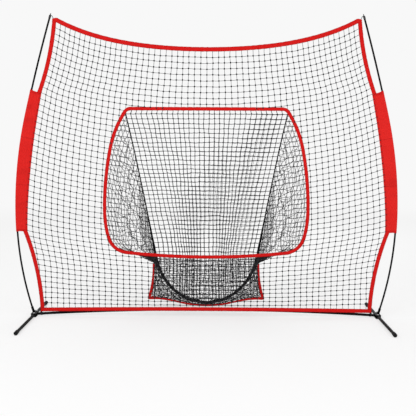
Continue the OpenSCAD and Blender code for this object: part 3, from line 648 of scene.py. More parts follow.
# The opening's right half: radii and turns from the middle of its bottom edge to its top edge.
OPENING_LOW = 377.0
OPENING_ARCS = [(4700, 6), (129, 69), (637, 15), (1925, 11.3), (645, 21.7), (42, 57)]
OPENING_STEPS = [(radius * math.radians(turn), -turn) for radius, turn in OPENING_ARCS]
OPENING_BENT = ((0, OPENING_LOW), 90, OPENING_STEPS)
OPENING_TOP = pose(OPENING_BENT, path_length(OPENING_BENT))[0]
OPENING = ((0, OPENING_LOW), 90, OPENING_STEPS + [(OPENING_TOP[0], 0)])
SHOULDER_AT = path_length(OPENING_BENT) - OPENING_STEPS[-1][0]
SHOULDER = pose(OPENING, SHOULDER_AT)[0]
POCKET_FOOT_AT = 425.0
OUTLINE_PARTS = [12, 24, 8, 10, 10, 16, 14]


def bowed(a, b, bow, t):
    """A line from a to b that bows to its left, by a parabola of that height."""
    c = b - a
    return a + t[:, None] * c + 4 * bow * (t * (1 - t))[:, None] * unit(np.array([-c[1], c[0]]))


def sleeve_reach(q):
    """The sleeve panel's reach from the pole: its end width plus half a wave of belly."""
    return SLEEVE_END_W + SLEEVE_BELLY * np.sin(np.pi * q)


SLEEVE_END = SLEEVE_START + SLEEVE_LENGTH
TOP_CORNER = beside(BOW, BOW_LENGTH - TOP_CORNER_DROP, -TOP_CORNER_INSET)
BOTTOM_CORNER = np.array([HALF_SPAN - BOTTOM_CORNER_INSET, NET_BOTTOM])
fine = np.linspace(0, 1, 33)
LOW_EDGE = bowed(BOTTOM_CORNER, beside(BOW, SLEEVE_START, -SLEEVE_END_W), LOW_EDGE_BOW, fine)
HIGH_EDGE = bowed(beside(BOW, SLEEVE_END, -SLEEVE_END_W), TOP_CORNER, HIGH_EDGE_BOW, fine)
SLEEVE_EDGE = beside(BOW, SLEEVE_START + SLEEVE_LENGTH * fine[1:-1], -sleeve_reach(fine[1:-1]))
SIDE_EDGE = np.concatenate([LOW_EDGE, SLEEVE_EDGE, HIGH_EDGE])


def hanging(share):
    """A hanging curve: 0 in the middle and 1 at both ends."""
    return (np.cosh(TOP_HANG * share) - 1) / (math.cosh(TOP_HANG) - 1)


def top_z(x):
    """The top edge: a hanging curve that sags between its corners."""
    return TOP_CORNER[1] - TOP_SAG * (1 - hanging(x / TOP_CORNER[0]))


def bottom_z(x):
    """The bottom edge: a shallow arch."""
    return BOTTOM_CORNER[1] + BOTTOM_RISE * (1 - (x / BOTTOM_CORNER[0]) ** 2)


def side_x(z):
    """The side edge's distance from the middle at a height."""
    return np.interp(z, SIDE_EDGE[:, 1], SIDE_EDGE[:, 0])


UNDER_TAPE, EDGE_CLOSING, OVERSHOOT = 6.0, 0.06, (0.006, 0.004)
LOW_COLUMNS, LOW_COLUMNS_WIDEN, COLUMNS_WIDEN_Z = 1068.0, 37.0, (270, 560)


def net_point(u, v):
    """A crossing of the net: u from -1 to 1 across it, v from 0 to 1 up its side edge.

    Rows droop from their ends by the sag times 1 - (1-v)^4: as a parabola low down, as the top
    edge's hanging curve high up. Columns are shares of the side edge's distance, and a little
    closer beside it. Below the sleeves they move in a little and then run straight down, and the
    outer ones end at the side edge. Under the tapes points are held to the net's edges.
    """
    share = u * (1 + EDGE_CLOSING * (1 - np.abs(u)))
    droop = (1 - v) * (1 - share ** 2) + v * (1 - hanging(share))
    droop = TOP_SAG * (1 - (1 - np.clip(v, 0, 1)) ** 4) * droop
    z = BOTTOM_CORNER[1] + v * (TOP_CORNER[1] - BOTTOM_CORNER[1]) - droop
    z = np.maximum(z, bottom_z(share * BOTTOM_CORNER[0]) - UNDER_TAPE)
    edge = side_x(z)
    low = LOW_COLUMNS + LOW_COLUMNS_WIDEN * smooth(z, *COLUMNS_WIDEN_Z)
    reach = np.where(z < COLUMNS_WIDEN_Z[1], low, edge)
    x = np.clip(share * reach, -edge - UNDER_TAPE, edge + UNDER_TAPE)
    return xz(x, z, NET_Y)


def opening_loop():
    """The opening's outline all round, from the middle of its bottom edge."""
    ends = np.cumsum([0.0] + [length for length, _ in OPENING[2]])
    d = np.concatenate([
        np.linspace(a, b, n, endpoint=False) for a, b, n in zip(ends, ends[1:], OUTLINE_PARTS)
    ])
    half = np.concatenate([pose(OPENING, d)[0], [[0, OPENING_TOP[1]]]])
    return np.concatenate([half, mirror(half)[-2:0:-1]])


# ---- Nets -----------------------------------------------------------------------

NET_COLUMNS, NET_ROWS = 56, 50
SHORTEST_RUN = 2.0
KNOT_FLAT, KNOT_RING = 0.75, 0.62
RING_CLEARANCE, KNOT_CLEARANCE = 2, 7.0

# The radii of each net's cords and knots.
NET_R = (1.35, 5.6)
BACK_R, LINING_R = (1.95, 5.4), (1.05, 3.2)
SIDE_R, FOLDS_R, BUNCH_R = (1.45, 3.4), (1.45, 2.8), (1.05, 1.3)
APRON_R = (1.3, 2.6)


def cord_runs(grid):
    """The straight runs between a grid's knots, without its four edges or runs drawn to nothing."""
    a = np.concatenate([grid[1:-1, :-1].reshape(-1, 3), grid[:-1, 1:-1].reshape(-1, 3)])
    b = np.concatenate([grid[1:-1, 1:].reshape(-1, 3), grid[1:, 1:-1].reshape(-1, 3)])
    real = np.linalg.norm(b - a, axis=-1) > SHORTEST_RUN
    return a[real], b[real]


def cords(a, b, radius, slack, seed):
    """Square tubes of three rings from each a to its b, whose middles hang by the slack."""
    middle = (a + b) / 2 + slack * (ripples(a + b, 23, seed) * 0.8 + np.array([0, 0, -0.7]))
    level = np.abs(unit(b - a)[:, :1]) > 0.7
    side = np.where(level, [[0.0, 0.3, 1.0]], [[1.0, 0.3, 0.0]])[:, None]
    return tubes(np.stack([a, middle, b], 1), side, circle(4) * radius)


def knots(centres, across, up, radius):
    """A blob at each crossing: a ball of three six-sided rings and two poles, flattened."""
    across, up = unit(across), unit(up)
    axes = np.stack([across, up, KNOT_FLAT * unit(np.cross(across, up))], 1)
    rise = np.repeat([-KNOT_RING, 0.0, KNOT_RING], 6)[:, None]
    rings = np.hstack([np.tile(circle(6), (3, 1)) * np.sqrt(1 - rise ** 2), rise])
    ball = np.concatenate([[[0, 0, -1]], rings, [[0, 0, 1]]])
    points = centres[:, None] + radius * (ball @ axes)
    k = np.arange(6)
    n = (k + 1) % 6
    quads = [np.stack([1 + r + k, 1 + r + n, 7 + r + n, 7 + r + k], -1).ravel() for r in (0, 6)]
    poles = [np.stack(c, -1).ravel() for c in ((0 * k, 1 + n, 1 + k), (0 * k + 19, 13 + k, 13 + n))]
    corners = np.concatenate(quads + poles)
    loops = (corners[None] + 20 * np.arange(len(centres))[:, None]).ravel()
    sizes = np.tile(np.repeat([4, 3], 12), len(centres))
    uv = np.tile(np.stack([corners % 6 / 6, corners / 20 * 0.004], -1), (len(centres), 1))
    return points.reshape(-1, 3), loops, sizes, uv


def knot_frames(grid):
    """The crossings inside a grid, and the directions of the cords that meet there."""
    across = (grid[1:-1, 2:] - grid[1:-1, :-2]).reshape(-1, 3)
    up = (grid[2:, 1:-1] - grid[:-2, 1:-1]).reshape(-1, 3)
    real = np.linalg.norm(np.cross(across, up), axis=-1) > SHORTEST_RUN ** 2
    return grid[1:-1, 1:-1].reshape(-1, 3)[real], across[real], up[real]


def distance_inside(points, loop):
    """How far points of the plane are inside a closed line: negative outside it.

    The distance is the least one to any of its sides, and a point is inside where a level ray
    from it crosses an odd number of them.
    """
    a, b = loop, np.roll(loop, -1, axis=0)
    ab = b - a
    ap = points[:, None] - a[None]
    t = np.clip((ap * ab).sum(-1) / (ab * ab).sum(-1), 0, 1)
    distance = np.linalg.norm(ap - t[..., None] * ab, axis=-1).min(1)
    z = points[:, None, 1]
    spans = (a[None, :, 1] > z) != (b[None, :, 1] > z)
    height = np.where(ab[:, 1] == 0, 1e-9, ab[:, 1])
    x = a[:, 0] + (z - a[:, 1]) / height * ab[:, 0]
    odd = (spans & (points[:, :1] < x)).sum(1) % 2 == 1
    return np.where(odd, distance, -distance)


def main_net():
    """The net's cords and knots: cords end under the tapes or at the opening, knots before."""
    finish = twisted_cord("net_cord", 3.2 * MM, rgb(16, 16, 18), rgb(46, 46, 50))
    u, v = np.linspace(-1, 1, NET_COLUMNS + 1), np.linspace(0, 1, NET_ROWS + 1)
    u[[0, -1]] *= 1 + OVERSHOOT[0]
    v[-1] += OVERSHOOT[1]
    grid = net_point(*np.meshgrid(u, v))
    stray = ripples(grid, 130, 11) * 1.4 + ripples(grid, 31, 14) * 0.5
    grid[1:-1, 1:-1] += (stray * [1, 0, 1])[1:-1, 1:-1]
    loop = opening_loop()
    a, b = cord_runs(grid)
    inside_a, inside_b = distance_inside(a[:, [0, 2]], loop), distance_inside(b[:, [0, 2]], loop)
    cut = np.clip(inside_b / np.where(inside_b == inside_a, 1, inside_b - inside_a), 0, 1)[:, None]
    met = b + cut * (a - b)
    enters, leaves = (inside_b > 0) & (inside_a < 0), (inside_a > 0) & (inside_b < 0)
    a, b = np.where(leaves[:, None], met, a), np.where(enters[:, None], met, b)
    keep = (inside_a < 0) | (inside_b < 0)
    runs = cords(a[keep], b[keep], NET_R[0], 0.9, 21)
    put_mesh("main_net_cords", runs, finish, ["main_net"])
    centres, across, up = knot_frames(grid)
    clear = distance_inside(centres[:, [0, 2]], loop) < -RING_CLEARANCE
    clear &= np.abs(centres[:, 0]) < side_x(centres[:, 2]) - KNOT_CLEARANCE
    blobs = knots(centres[clear], across[clear], up[clear], NET_R[1])
    put_mesh("main_net_knots", blobs, finish)


# ---- Pocket ---------------------------------------------------------------------

POCKET_CLOTH = 1.4
CLOTH_Y = BINDING_BACK + SOFT_GAP + POCKET_CLOTH / 2
SEAM_D, SEAM_FOOT_D = 7.0, 18.0
SEAM_TOP = np.array([SHOULDER[0], BINDING_BACK + SOFT_GAP + SEAM_D / 2, SHOULDER[1] + 8])
SEAM_KNEE = np.array([350.0, 415.0, 330.0])
SEAM_TOE = np.array([0.0, 310.0, 5 + SEAM_FOOT_D / 2])
SEAM_FALL = [SEAM_TOP, SEAM_TOP + [-52, 115, -273], SEAM_KNEE + [48, -20, 290], SEAM_KNEE]
SEAM_FOOT = [SEAM_KNEE, SEAM_KNEE + [-35, 13, -200], SEAM_TOE + [185, 10, 0], SEAM_TOE]
TRIM_R, BACK_BELLY = 3.0, 26


def low_edge(x):
    """The opening's bottom edge near its middle: the first arc, as a parabola."""
    return OPENING_LOW + x * x / (2 * OPENING_ARCS[0][0])


APRON_HEAD = np.array([326.0, BINDING_BACK + SOFT_GAP + TRIM_R, low_edge(326.0)])
APRON_CORNER = np.array([362.0, 92.0, 95.0])
APRON_MIDDLE = np.array([0.0, 120.0, 40.0])
APRON_SIDE = [APRON_HEAD, APRON_HEAD + [-4, 30, -90], APRON_CORNER + [-30, -32, 95], APRON_CORNER]
APRON_HEM = [APRON_CORNER, APRON_CORNER + [-132, 3, 3], APRON_MIDDLE + [150, 0, 0], APRON_MIDDLE]


def seam(t):
    """The pocket's seam on the right side: one curve from shoulder to knee, one on to the toe."""
    t = np.asarray(t, float)
    return np.where(t[..., None] < 0.5, bezier(SEAM_FALL, 2 * t), bezier(SEAM_FOOT, 2 * t - 1))


def seam_r(t):
    """The seam's radius, which swells towards its foot."""
    return SEAM_D / 2 + (SEAM_FOOT_D - SEAM_D) / 2 * smooth(t, 0.27, 0.56)


def pocket_back_grid(rows, columns, lift=0.0, shift=None):
    """Crossings of the pocket's back, between its seams.

    Rows are at equal distances down the middle. A column starts at its share w of the top's half
    width, and further down moves in by what the width has lost times a smooth step of w. So the
    middle columns hang straight, the outer ones run beside the seam, and they close up between.
    Below the knee no more is lost, and columns end at the seam. A shift, in rows and columns, fades
    out towards the edges.
    """
    t = np.linspace(0, 0.985, 200)
    edge = np.concatenate([[[SEAM_TOP[0] - 12, CLOTH_Y, OPENING_TOP[1]]], seam(t)])
    belly = BACK_BELLY * np.sin(np.pi * np.linspace(0, 1, len(edge)))
    middle = edge * [0, 1, 1] + belly[:, None] * [0, 1, 0]
    length = curve_lengths(middle)
    u, share = shares(columns, rows)
    if shift is not None:
        inside = (1 - u ** 8) * np.sin(np.pi * np.clip(share, 0, 1)) ** 0.3
        share = share + inside * shift[0] / rows
        u = u + inside * shift[1] * 2 / columns
    at = share * length[-1]
    half, y, z, swell = (np.interp(at, length, values) for values in (*edge.T, belly))
    top, w = edge[0, 0], np.abs(u)
    lost = top - np.maximum(half, SEAM_KNEE[0])
    x = np.clip(np.sign(u) * (top * w - lost * smooth(w, 0.0, 0.8)), -half, half)
    beside_seam = 1 - np.abs(x) / np.maximum(half, 1)
    grid = np.stack([x, y + swell * beside_seam * (2 - beside_seam) + lift, z], -1)
    fade = np.minimum(1, np.minimum(beside_seam * 6, 12 * np.minimum(share, 1 - share)))[..., None]
    stray = ripples(grid, 150, 31) * [2.5, 5, 2.5] + ripples(grid, 43, 34) * [1.2, 3, 1.2]
    return grid + fade * stray


pocket_finish = twisted_cord("pocket_cord", 2.6 * MM, rgb(14, 14, 16), rgb(44, 44, 48))


def net_piece(name, grids, radii, slack, seed, replaced=()):
    """A net as one piece: the cords and knots of one or more grids."""
    parts = []
    for k, grid in enumerate(grids):
        parts.append(cords(*cord_runs(grid), radii[0], slack, seed + k))
        parts.append(knots(*knot_frames(grid), radii[1]))
    put_mesh(name, joined(*parts), pocket_finish, replaced)


def pocket_back():
    """The pocket's back: a net, and one behind it whose cells drift out of step with the first."""
    rows, columns = 43, 31
    net = pocket_back_grid(rows, columns)
    net_piece("pocket_back_net", [net], BACK_R, 1.2, 41, ["pocket_back"])
    plan = np.stack(shares(columns, rows), -1)
    apart = plan[..., 0] + 1.6 * (plan[..., 1] - 0.45) + 0.25 * ripple(plan, 1.2, 51)
    apart = smooth(apart, -0.9, 0.3)
    drift, slide = (
        apart * (0.22 + 0.2 * ripple(plan, wavelength, seed))
        for wavelength, seed in ((0.9, 52), (0.8, 58))
    )
    lining = pocket_back_grid(rows, columns, 4.0, (drift, slide))
    net_piece("pocket_back_lining", [lining], LINING_R, 1.2, 43)


GUSSET_SPLIT = 0.56
GUSSET_ROWS = 30
GATHER_REACH = 115
ROLL_HALF, ROLL_GROWTH = 5, 13


def paces(width, spacing):
    """Shares of each row's width at equal paces, held at 1 past its end."""
    return np.minimum(np.arange(0, width.max() + spacing, spacing) / width, 1)


def gusset_edges(count):
    """The gusset's front and rear edges on the right side, from the shoulder to the toe.

    The front edge follows the opening's outline, then the apron's side and hem. The rear edge is
    the seam, and both are cut at the same shares of the way.
    """
    q, side_q = np.linspace(0, 1, 120), np.linspace(0, 1, 40)
    hem_q = side_q[1:]
    ring = pose(OPENING, SHOULDER_AT + (POCKET_FOOT_AT - SHOULDER_AT) * q)[0]
    front = np.concatenate([
        in_plane(ring, CLOTH_Y), bezier(APRON_SIDE, 0.1 + 0.9 * side_q), bezier(APRON_HEM, hem_q)
    ])
    rear = seam(np.concatenate([
        0.01 + (GUSSET_SPLIT - 0.01) * q, GUSSET_SPLIT + 0.02 + 0.14 * side_q,
        GUSSET_SPLIT + 0.16 + (1 - GUSSET_SPLIT - 0.16) * hem_q,
    ]))
    length = curve_lengths((front + rear) / 2)
    at = np.linspace(0, length[-1], count)
    return between(at, length, front), between(at, length, rear)


def side_grid(spacing, seed, crumple, from_seam=False):
    """Crossings of the gusset above the opening's foot, on the right side.

    A row runs straight from the side of the opening to the seam, a little lower. Seen from the
    front, columns keep their distance from the side's line, which runs straight on down past the
    rounded corner, and those outside the opening are held to its outline. With from_seam, columns
    keep their distance from the seam.
    """
    corner_z, corner_slope, row_fall, fallen_z = 600, 0.12, 80, 780
    outline = pose(OPENING, np.linspace(POCKET_FOOT_AT, SHOULDER_AT, 260))[0]
    z = np.linspace(SHOULDER[1] + 6, outline[0, 1] + 3, GUSSET_ROWS + 1)
    ring_x = np.interp(z, outline[:, 1], outline[:, 0])
    corner_x = np.interp(corner_z, z[::-1], ring_x[::-1])
    straight = np.where(z < corner_z, corner_x - corner_slope * (corner_z - z), ring_x)
    seam_line = seam(np.linspace(0, 0.62, 200))[::-1]
    low = z - row_fall * smooth(-z, -SHOULDER[1], -fallen_z)
    rear = between(low, seam_line[:, 2], seam_line)
    front, line = (xz(x, z, CLOTH_Y) for x in (ring_x, straight))
    reach = rear - (front if from_seam else line)
    width = np.linalg.norm(reach, axis=-1)[:, None]
    q = paces(width, spacing)
    if from_seam:
        share = 1 - q
    else:
        x = straight[:, None] + q * reach[:, :1]
        share = np.clip((ring_x[:, None] - x) / (ring_x - rear[:, 0])[:, None], 0, 1)
    share = share[..., None]
    grid = front[:, None] + share * (rear - front)[:, None]
    grow = np.clip(share * 1.8, 0.15, 1) * np.minimum(1, (1 - share) * 5)
    grow = grow * np.minimum(1, width[..., None] / 160)
    return crumpled(grid, crumple * grow * (share > 0), seed)


def foot_grid(rows, spacing, seed, crumple):
    """Crossings of the gusset below the opening, on the right side, from apron to seam."""
    front, rear = gusset_edges(rows + 1)
    below = rear[:, 2] < SEAM_KNEE[2] - 20
    front, rear = front[below], rear[below]
    width = np.linalg.norm(rear - front, axis=-1)[:, None]
    q = paces(width, spacing)[..., None]
    grid = front[:, None] + q * (rear - front)[:, None]
    grow = np.clip(q * 1.6, 0.2, 1) * np.minimum(1, (1 - q) * 5)
    return crumpled(grid, crumple * grow * (q > 0), seed)


def gather_grid(rows, columns, seed):
    """Crossings of the net bunched beside the seam on the right side. Columns run along it.

    The outermost column's distance from the seam grows from nothing high up to its full reach at
    the opening's foot, and the next ones lie inside it, closer and closer together, and come out
    of the seam one after another.
    """
    front, rear = gusset_edges(rows + 1)
    hanging_part = rear[:, 2] > SEAM_KNEE[2] - 30
    front, rear = front[hanging_part, None], rear[hanging_part, None]
    reach = GATHER_REACH * smooth(-rear[..., 2:], -1080, -380)
    inward = GATHER_REACH * (1 - np.linspace(1, 0.03, columns + 1)[:, None] ** 1.3)
    grid = rear + unit(front - rear) * np.maximum(reach - inward, 0)
    stray = np.clip((reach - inward) / 15, 0, 1)
    return grid + stray * (3.5 * ripples(grid, 60, seed) + 2.5 * ripples(grid, 21, seed + 5))


def pocket_gusset():
    """The pocket's sides: a net, a crumpled one behind it, and a bunch beside the seam."""
    net = both(side_grid(31, 61, 4.0), foot_grid(60, 33, 61, 4.5))
    folds = both(side_grid(29, 71, 15.0, True), foot_grid(57, 36, 71, 13.0))
    net_piece("pocket_gusset_net", net, SIDE_R, 1.5, 81, ["pocket_gusset"])
    net_piece("pocket_gusset_folds", folds, FOLDS_R, 1.5, 85)
    net_piece("pocket_gusset_bunch", both(gather_grid(80, 15, 77)), BUNCH_R, 0.6, 89)


gathered_finish = gathered_net()


def gusset_edge_rolls():
    """The gusset's gathered lower edges: flattened rolls from under the opening's tape to the seam.

    Their half height grows with the share of the way to the power 1.5.
    """
    share = np.linspace(0, 1, 49)
    path = bezier([[480, 2, 393], [410, 64, 385], [372, 240, 342], [342, 392, 291]], share)
    bulge = 1 + 0.06 * ripple(path, 22, 151)
    half_height = (ROLL_HALF + ROLL_GROWTH * share ** 1.5) * bulge
    radii = np.stack([half_height, ROLL_HALF + 3 * share], -1)
    profile = circle(16) * (radii * np.minimum(1, 0.35 + 5 * share)[:, None])[:, None]
    upward = np.array([0.0, 0.0, 1.0])
    rolls = [tubes(side[None], upward, profile[None]) for side in (path, mirror(path))]
    put_mesh("pocket_gusset_edge_rolls", joined(*rolls), gathered_finish)


def pocket_seam():
    """The gathered edge round the pocket: a lobed roll, twisted along its length, that swells
    towards the toe."""
    t = np.linspace(0, 1, 181)
    path = both_sides(seam(t))
    radius = np.maximum(seam_r(t), 4.0) * (0.96 + 0.12 * smooth(t, 0.42, 0.56))
    radius = np.append(radius, radius[-2::-1])[:, None, None]
    sides = 16
    angle = TURN * np.arange(sides) / sides
    along = curve_lengths(path)[:, None]
    lobes = 1 + 0.10 * np.cos(3 * angle + along / 60) + 0.06 * np.cos(5 * angle - along / 23 + 1)
    pucker = 1 + 0.07 * np.sin(along / 5.5 + 2 * np.cos(angle + along / 40))
    profile = circle(sides)[None] * radius * (lobes * pucker)[..., None]
    roll = tubes(path[None], np.array([0.0, 1.0, 0.2]), profile[None])
    put_mesh("pocket_seam_roll", roll, gathered_finish, ["pocket_seam"])


def apron_grid(rows, columns, seed, crumple):
    """Crossings of the apron: between the opening's bottom edge, its two sides and its hem.

    A point is the blend of the top and hem lines by height, plus the side's departure from that
    blend times its share across.
    """
    u, w = shares(columns, rows)
    q = np.abs(u)

    def top(s):
        x = s * APRON_HEAD[0]
        return xz(x, low_edge(x), APRON_HEAD[1])

    side, hem = bezier(APRON_SIDE, w), bezier(APRON_HEM, 1 - q)
    w3, q3 = w[..., None], q[..., None]
    ends = (1 - w3) * top(np.ones_like(w)) + w3 * APRON_CORNER
    half = (1 - w3) * top(q) + w3 * hem + q3 * (side - ends)
    grid = np.where(u[..., None] < 0, mirror(half), half)
    fade = np.minimum(1, (1 - q) * 6) * np.minimum(1, 6 * np.minimum(w, 1 - w))
    return crumpled(grid, crumple * fade[..., None], seed, (80, 33))


def pocket_apron():
    """The apron in front of the toe: two crumpled layers of net."""
    net, folds = apron_grid(12, 26, 91, 5.0), apron_grid(14, 31, 101, 8.0)
    net_piece("pocket_apron_net", [net], APRON_R, 1.2, 95, ["pocket_apron"])
    net_piece("pocket_apron_folds", [folds], APRON_R, 1.2, 105)


# ---- Bindings -------------------------------------------------------------------

TAPE_HALF_THICK = BINDING_T / 2
TOP_TAPE_HALF, BOTTOM_TAPE_HALF, SIDE_TAPE_HALF, RING_TAPE_HALF = 13.5, 12.5, 12.8, RING_W / 2 + 1.2
PUCKER, POINT_LENGTH = 0.5, 28
OVER_SLEEVE, OVER_TOP, OVER_NET = 8, 5, 1.5


def band(name, lines, half_width, finish, replaced, seed, point=0.0):
    """A tape in the net's plane along one or more lines, whose edges pucker a little.

    Towards its ends it narrows by the share point.
    """
    outline = tape(half_width - 0.3, TAPE_HALF_THICK)
    parts = []
    for line in lines:
        path = in_plane(evenly(line, int(curve_lengths(line)[-1] / 7) + 3))[None]
        outward = np.cross(np.gradient(path, axis=-2), [0.0, 1.0, 0.0])
        along = curve_lengths(path[0])
        from_end = np.minimum(along, along[-1] - along)
        wave = 1 + PUCKER / half_width * ripple(path, 18, seed)[..., None]
        wave *= 1 - point * smooth(-from_end, -POINT_LENGTH, 0)[None, :, None]
        swell = 1 + 0.1 * ripple(path, 29, seed + 1)[..., None]
        profile = outline * np.stack([wave, swell], -1)
        parts.append(tubes(path, outward, profile, tape_girth(outline)))
    put_mesh(name, joined(*parts), finish, [replaced])


def carried_on(line, distance):
    """A row of points with one more, straight on past its end."""
    return np.concatenate([line, [line[-1] + distance * unit(line[-1] - line[-2])]])


def bindings():
    """The tapes round the net: top, bottom, and each side below and above its sleeve.

    Each keeps its inner edge near the net's and is a few mm wider than its plain solid.
    """
    finish = red_binding("red_binding", 12.75)
    top_finish = red_binding("red_top_binding", TOP_TAPE_HALF)
    across = np.linspace(-1, 1, 161)
    for name, corner, edge_z, off, half_width, cloth, seed, point in (
        ("top", TOP_CORNER, top_z, TOP_BINDING_W / 2, TOP_TAPE_HALF, top_finish, 111, 0.6),
        ("bottom", BOTTOM_CORNER, bottom_z, -BINDING_W / 2, BOTTOM_TAPE_HALF, finish, 113, 0.0),
    ):
        x = across * (corner[0] + BINDING_W)
        line = np.stack([x, edge_z(np.clip(x, -corner[0], corner[0])) + off], -1)
        band(name + "_tape", [line], half_width, cloth, name + "_binding", seed, point)
    low = carried_on(LOW_EDGE, OVER_SLEEVE)
    high = carried_on(carried_on(HIGH_EDGE[::-1], OVER_SLEEVE)[::-1], OVER_TOP)
    for side, sign in SIDES:
        lines = [(edge + [BINDING_W / 2 - OVER_NET, 0]) * [sign, 1] for edge in (low, high)]
        band("side_tape_" + side, lines, SIDE_TAPE_HALF, finish, "side_binding_" + side, 115 + sign)


def target_ring():
    """The tape round the opening, closed on itself."""
    loop = opening_loop()
    line = evenly(np.concatenate([loop, loop[:1]]), 720)
    path = in_plane(line)[None]
    tangent = np.roll(line, -1, axis=0)[:-1] - np.roll(line, 1, axis=0)[:-1]
    tangent[0] = line[1] - line[-2]
    tangent = np.concatenate([tangent, tangent[:1]])
    outward = unit(xz(tangent[:, 1], -tangent[:, 0]))[None]
    outline = tape(RING_TAPE_HALF, TAPE_HALF_THICK)
    wave = 1 + PUCKER / (RING_W / 2) * ripple(path, 19, 121)[..., None]
    wave[:, -1] = wave[:, 0]
    profile = outline * np.stack([wave, np.ones_like(wave)], -1)
    ring = tubes(path, outward, profile, tape_girth(outline))
    finish = red_binding("red_ring", RING_TAPE_HALF)
    put_mesh("target_ring", ring, finish, ["target_binding"])


def apron_trim():
    """The narrow tape round the apron's sides and hem: a flattened roll.

    Its half width grows down the side to the corner, and falls again along the hem to the middle.
    """
    t = np.linspace(0, 1, 61)
    half = np.concatenate([bezier(APRON_SIDE, 0.2 + 0.8 * t), bezier(APRON_HEM, t[1:])])
    widths = np.concatenate([6.6 + 4.0 * t ** 3, 5.2 + 5.4 * (1 - t[1:]) ** 5])
    line = evenly(np.column_stack([both_sides(half), np.append(widths, widths[-2::-1])]), 340)
    path = line[None, :, :3] - [0, 5, 0]
    radius = (line[:, 3] * (1 + 0.05 * ripple(path[0], 16, 131)))[:, None, None]
    profile = circle(12) * [1.0, 0.6] * radius
    face = xz(np.gradient(line[:, 2]), -np.gradient(line[:, 0]))
    trim = tubes(path, face[None], profile[None], np.linspace(-1, 1, 13) * 7 * MM)
    put_mesh("apron_tape", trim, red_binding("red_trim", 10), ["apron_binding"])


# ---- Sleeves --------------------------------------------------------------------

SLEEVE_CLOTH, SLEEVE_SLACK = 1.0, 1.4
SLEEVE_WRAP_R = POLE_R + SLEEVE_SLACK + SLEEVE_CLOTH / 2
SLEEVE_HEM, SLEEVE_OVERLAP = 16.0, 4
SLEEVE_DISH, SLEEVE_FOOT_DROP = 5, 9
SLEEVE_ROWS, FLAT_POINTS, BEND_POINTS = 121, 14, 15


def sleeve_profile(width, pleat):
    """The folded cloth's middle line: in front from the net to the pole, round it, and back behind.

    width is the panel's reach, one for each row. Both layers move by the same pleat, so they
    never meet.
    """
    front_y = BINDING_BACK + SOFT_GAP + SLEEVE_CLOTH / 2
    rear_y = front_y + SLEEVE_CLOTH + 2 * SOFT_GAP
    angle = np.radians(np.linspace(-84, 112, BEND_POINTS))
    flat = -width[:, None] * np.linspace(1, 0.18, FLAT_POINTS)
    bend = np.broadcast_to(SLEEVE_WRAP_R * np.cos(angle), (len(width), BEND_POINTS))
    x = np.concatenate([flat, bend, flat[:, ::-1]], 1)
    front, rear = np.full(FLAT_POINTS, front_y), np.full(FLAT_POINTS, rear_y)
    rise = np.concatenate([front, SLEEVE_WRAP_R * np.sin(angle), rear])
    lift = pleat(x) * np.clip(-x / 12, 0, 1) * np.clip((width[:, None] + x) / 14, 0, 1)
    return np.stack([x, rise + lift], -1)


def sleeve(side, sign, finish):
    """A sleeve on its pole: the folded cloth carried along the bow, with long soft pleats, dished
    ends and a level foot."""
    q = np.linspace(0, 1, SLEEVE_ROWS)
    at, heading = pose(BOW, SLEEVE_START + SLEEVE_LENGTH * q)
    width = sleeve_reach(q) + SLEEVE_OVERLAP

    def pleat(x):
        spot = np.stack([x, np.broadcast_to(q[:, None] * SLEEVE_LENGTH, x.shape)], -1)
        return 1.6 * ripple(spot * [1, 0.16], 46, 141) + 0.8 * ripple(spot * [1, 0.3], 21, 143)

    line = sleeve_profile(width, pleat)
    tangent = unit(np.gradient(line, axis=1))
    normal = np.stack([tangent[..., 1], -tangent[..., 0]], -1)
    from_end = SLEEVE_LENGTH / 2 - np.abs(q - 0.5) * SLEEVE_LENGTH
    hem = 1 + 0.5 * smooth(-from_end, -SLEEVE_HEM - 1, -SLEEVE_HEM + 1)
    thick = SLEEVE_CLOTH / 2 * hem[:, None, None] * normal
    outline = np.concatenate([line + thick, (line - thick)[:, ::-1]], 1)
    share = np.clip(-line[..., 0] / width[:, None], 0, 1)
    at_ends = np.abs(2 * q - 1) ** 12 * np.sign(0.5 - q)
    dish = SLEEVE_DISH * (1 - 4 * (share - 0.5) ** 2) * at_ends[:, None]
    dish = dish - SLEEVE_FOOT_DROP * share * ((1 - q) ** 8)[:, None]
    dish = np.concatenate([dish, dish[:, ::-1]], 1)
    along = xz(np.sin(heading), np.cos(heading))
    across = xz(np.cos(heading), -np.sin(heading))
    points = (
        in_plane(at, 0.0)[:, None] + outline[..., :1] * across[:, None]
        + outline[..., 1:] * [0.0, 1.0, 0.0] + dish[..., None] * along[:, None]
    )
    girth = curve_lengths(line[0])
    girth = np.concatenate([girth, girth[::-1], girth[:1]]) * MM
    _, loops, sizes, uv = tubes(in_plane(at, 0.0)[None], across[None], outline[None], girth)
    if sign < 0:
        # A mirrored face's corners run the other way round.
        order = np.repeat(2 * np.cumsum(sizes) - sizes - 1, sizes) - np.arange(len(loops))
        loops, uv = loops[order], uv[order]
    faces = points.reshape(-1, 3) * [sign, 1, 1], loops, sizes, uv
    piece = put_mesh("sleeve_cloth_" + side, faces, finish, ["sleeve_" + side])


def sleeves():
    """Both sleeves, in one cloth."""
    finish = red_sleeve(SLEEVE_LENGTH)
    for side, sign in SIDES[::-1]:
        sleeve(side, sign, finish)


# ---- Cords and ties -------------------------------------------------------------

ELASTIC_R, SHOCK_CORD_R = 1.2, 1.6
STRAP_HALF, STRAP_HALF_THICK = 6.0, 0.75
TIE_BACK, TIE_TOP_Z = 31.0, 45.0
BRACKET_HALF = 15.0


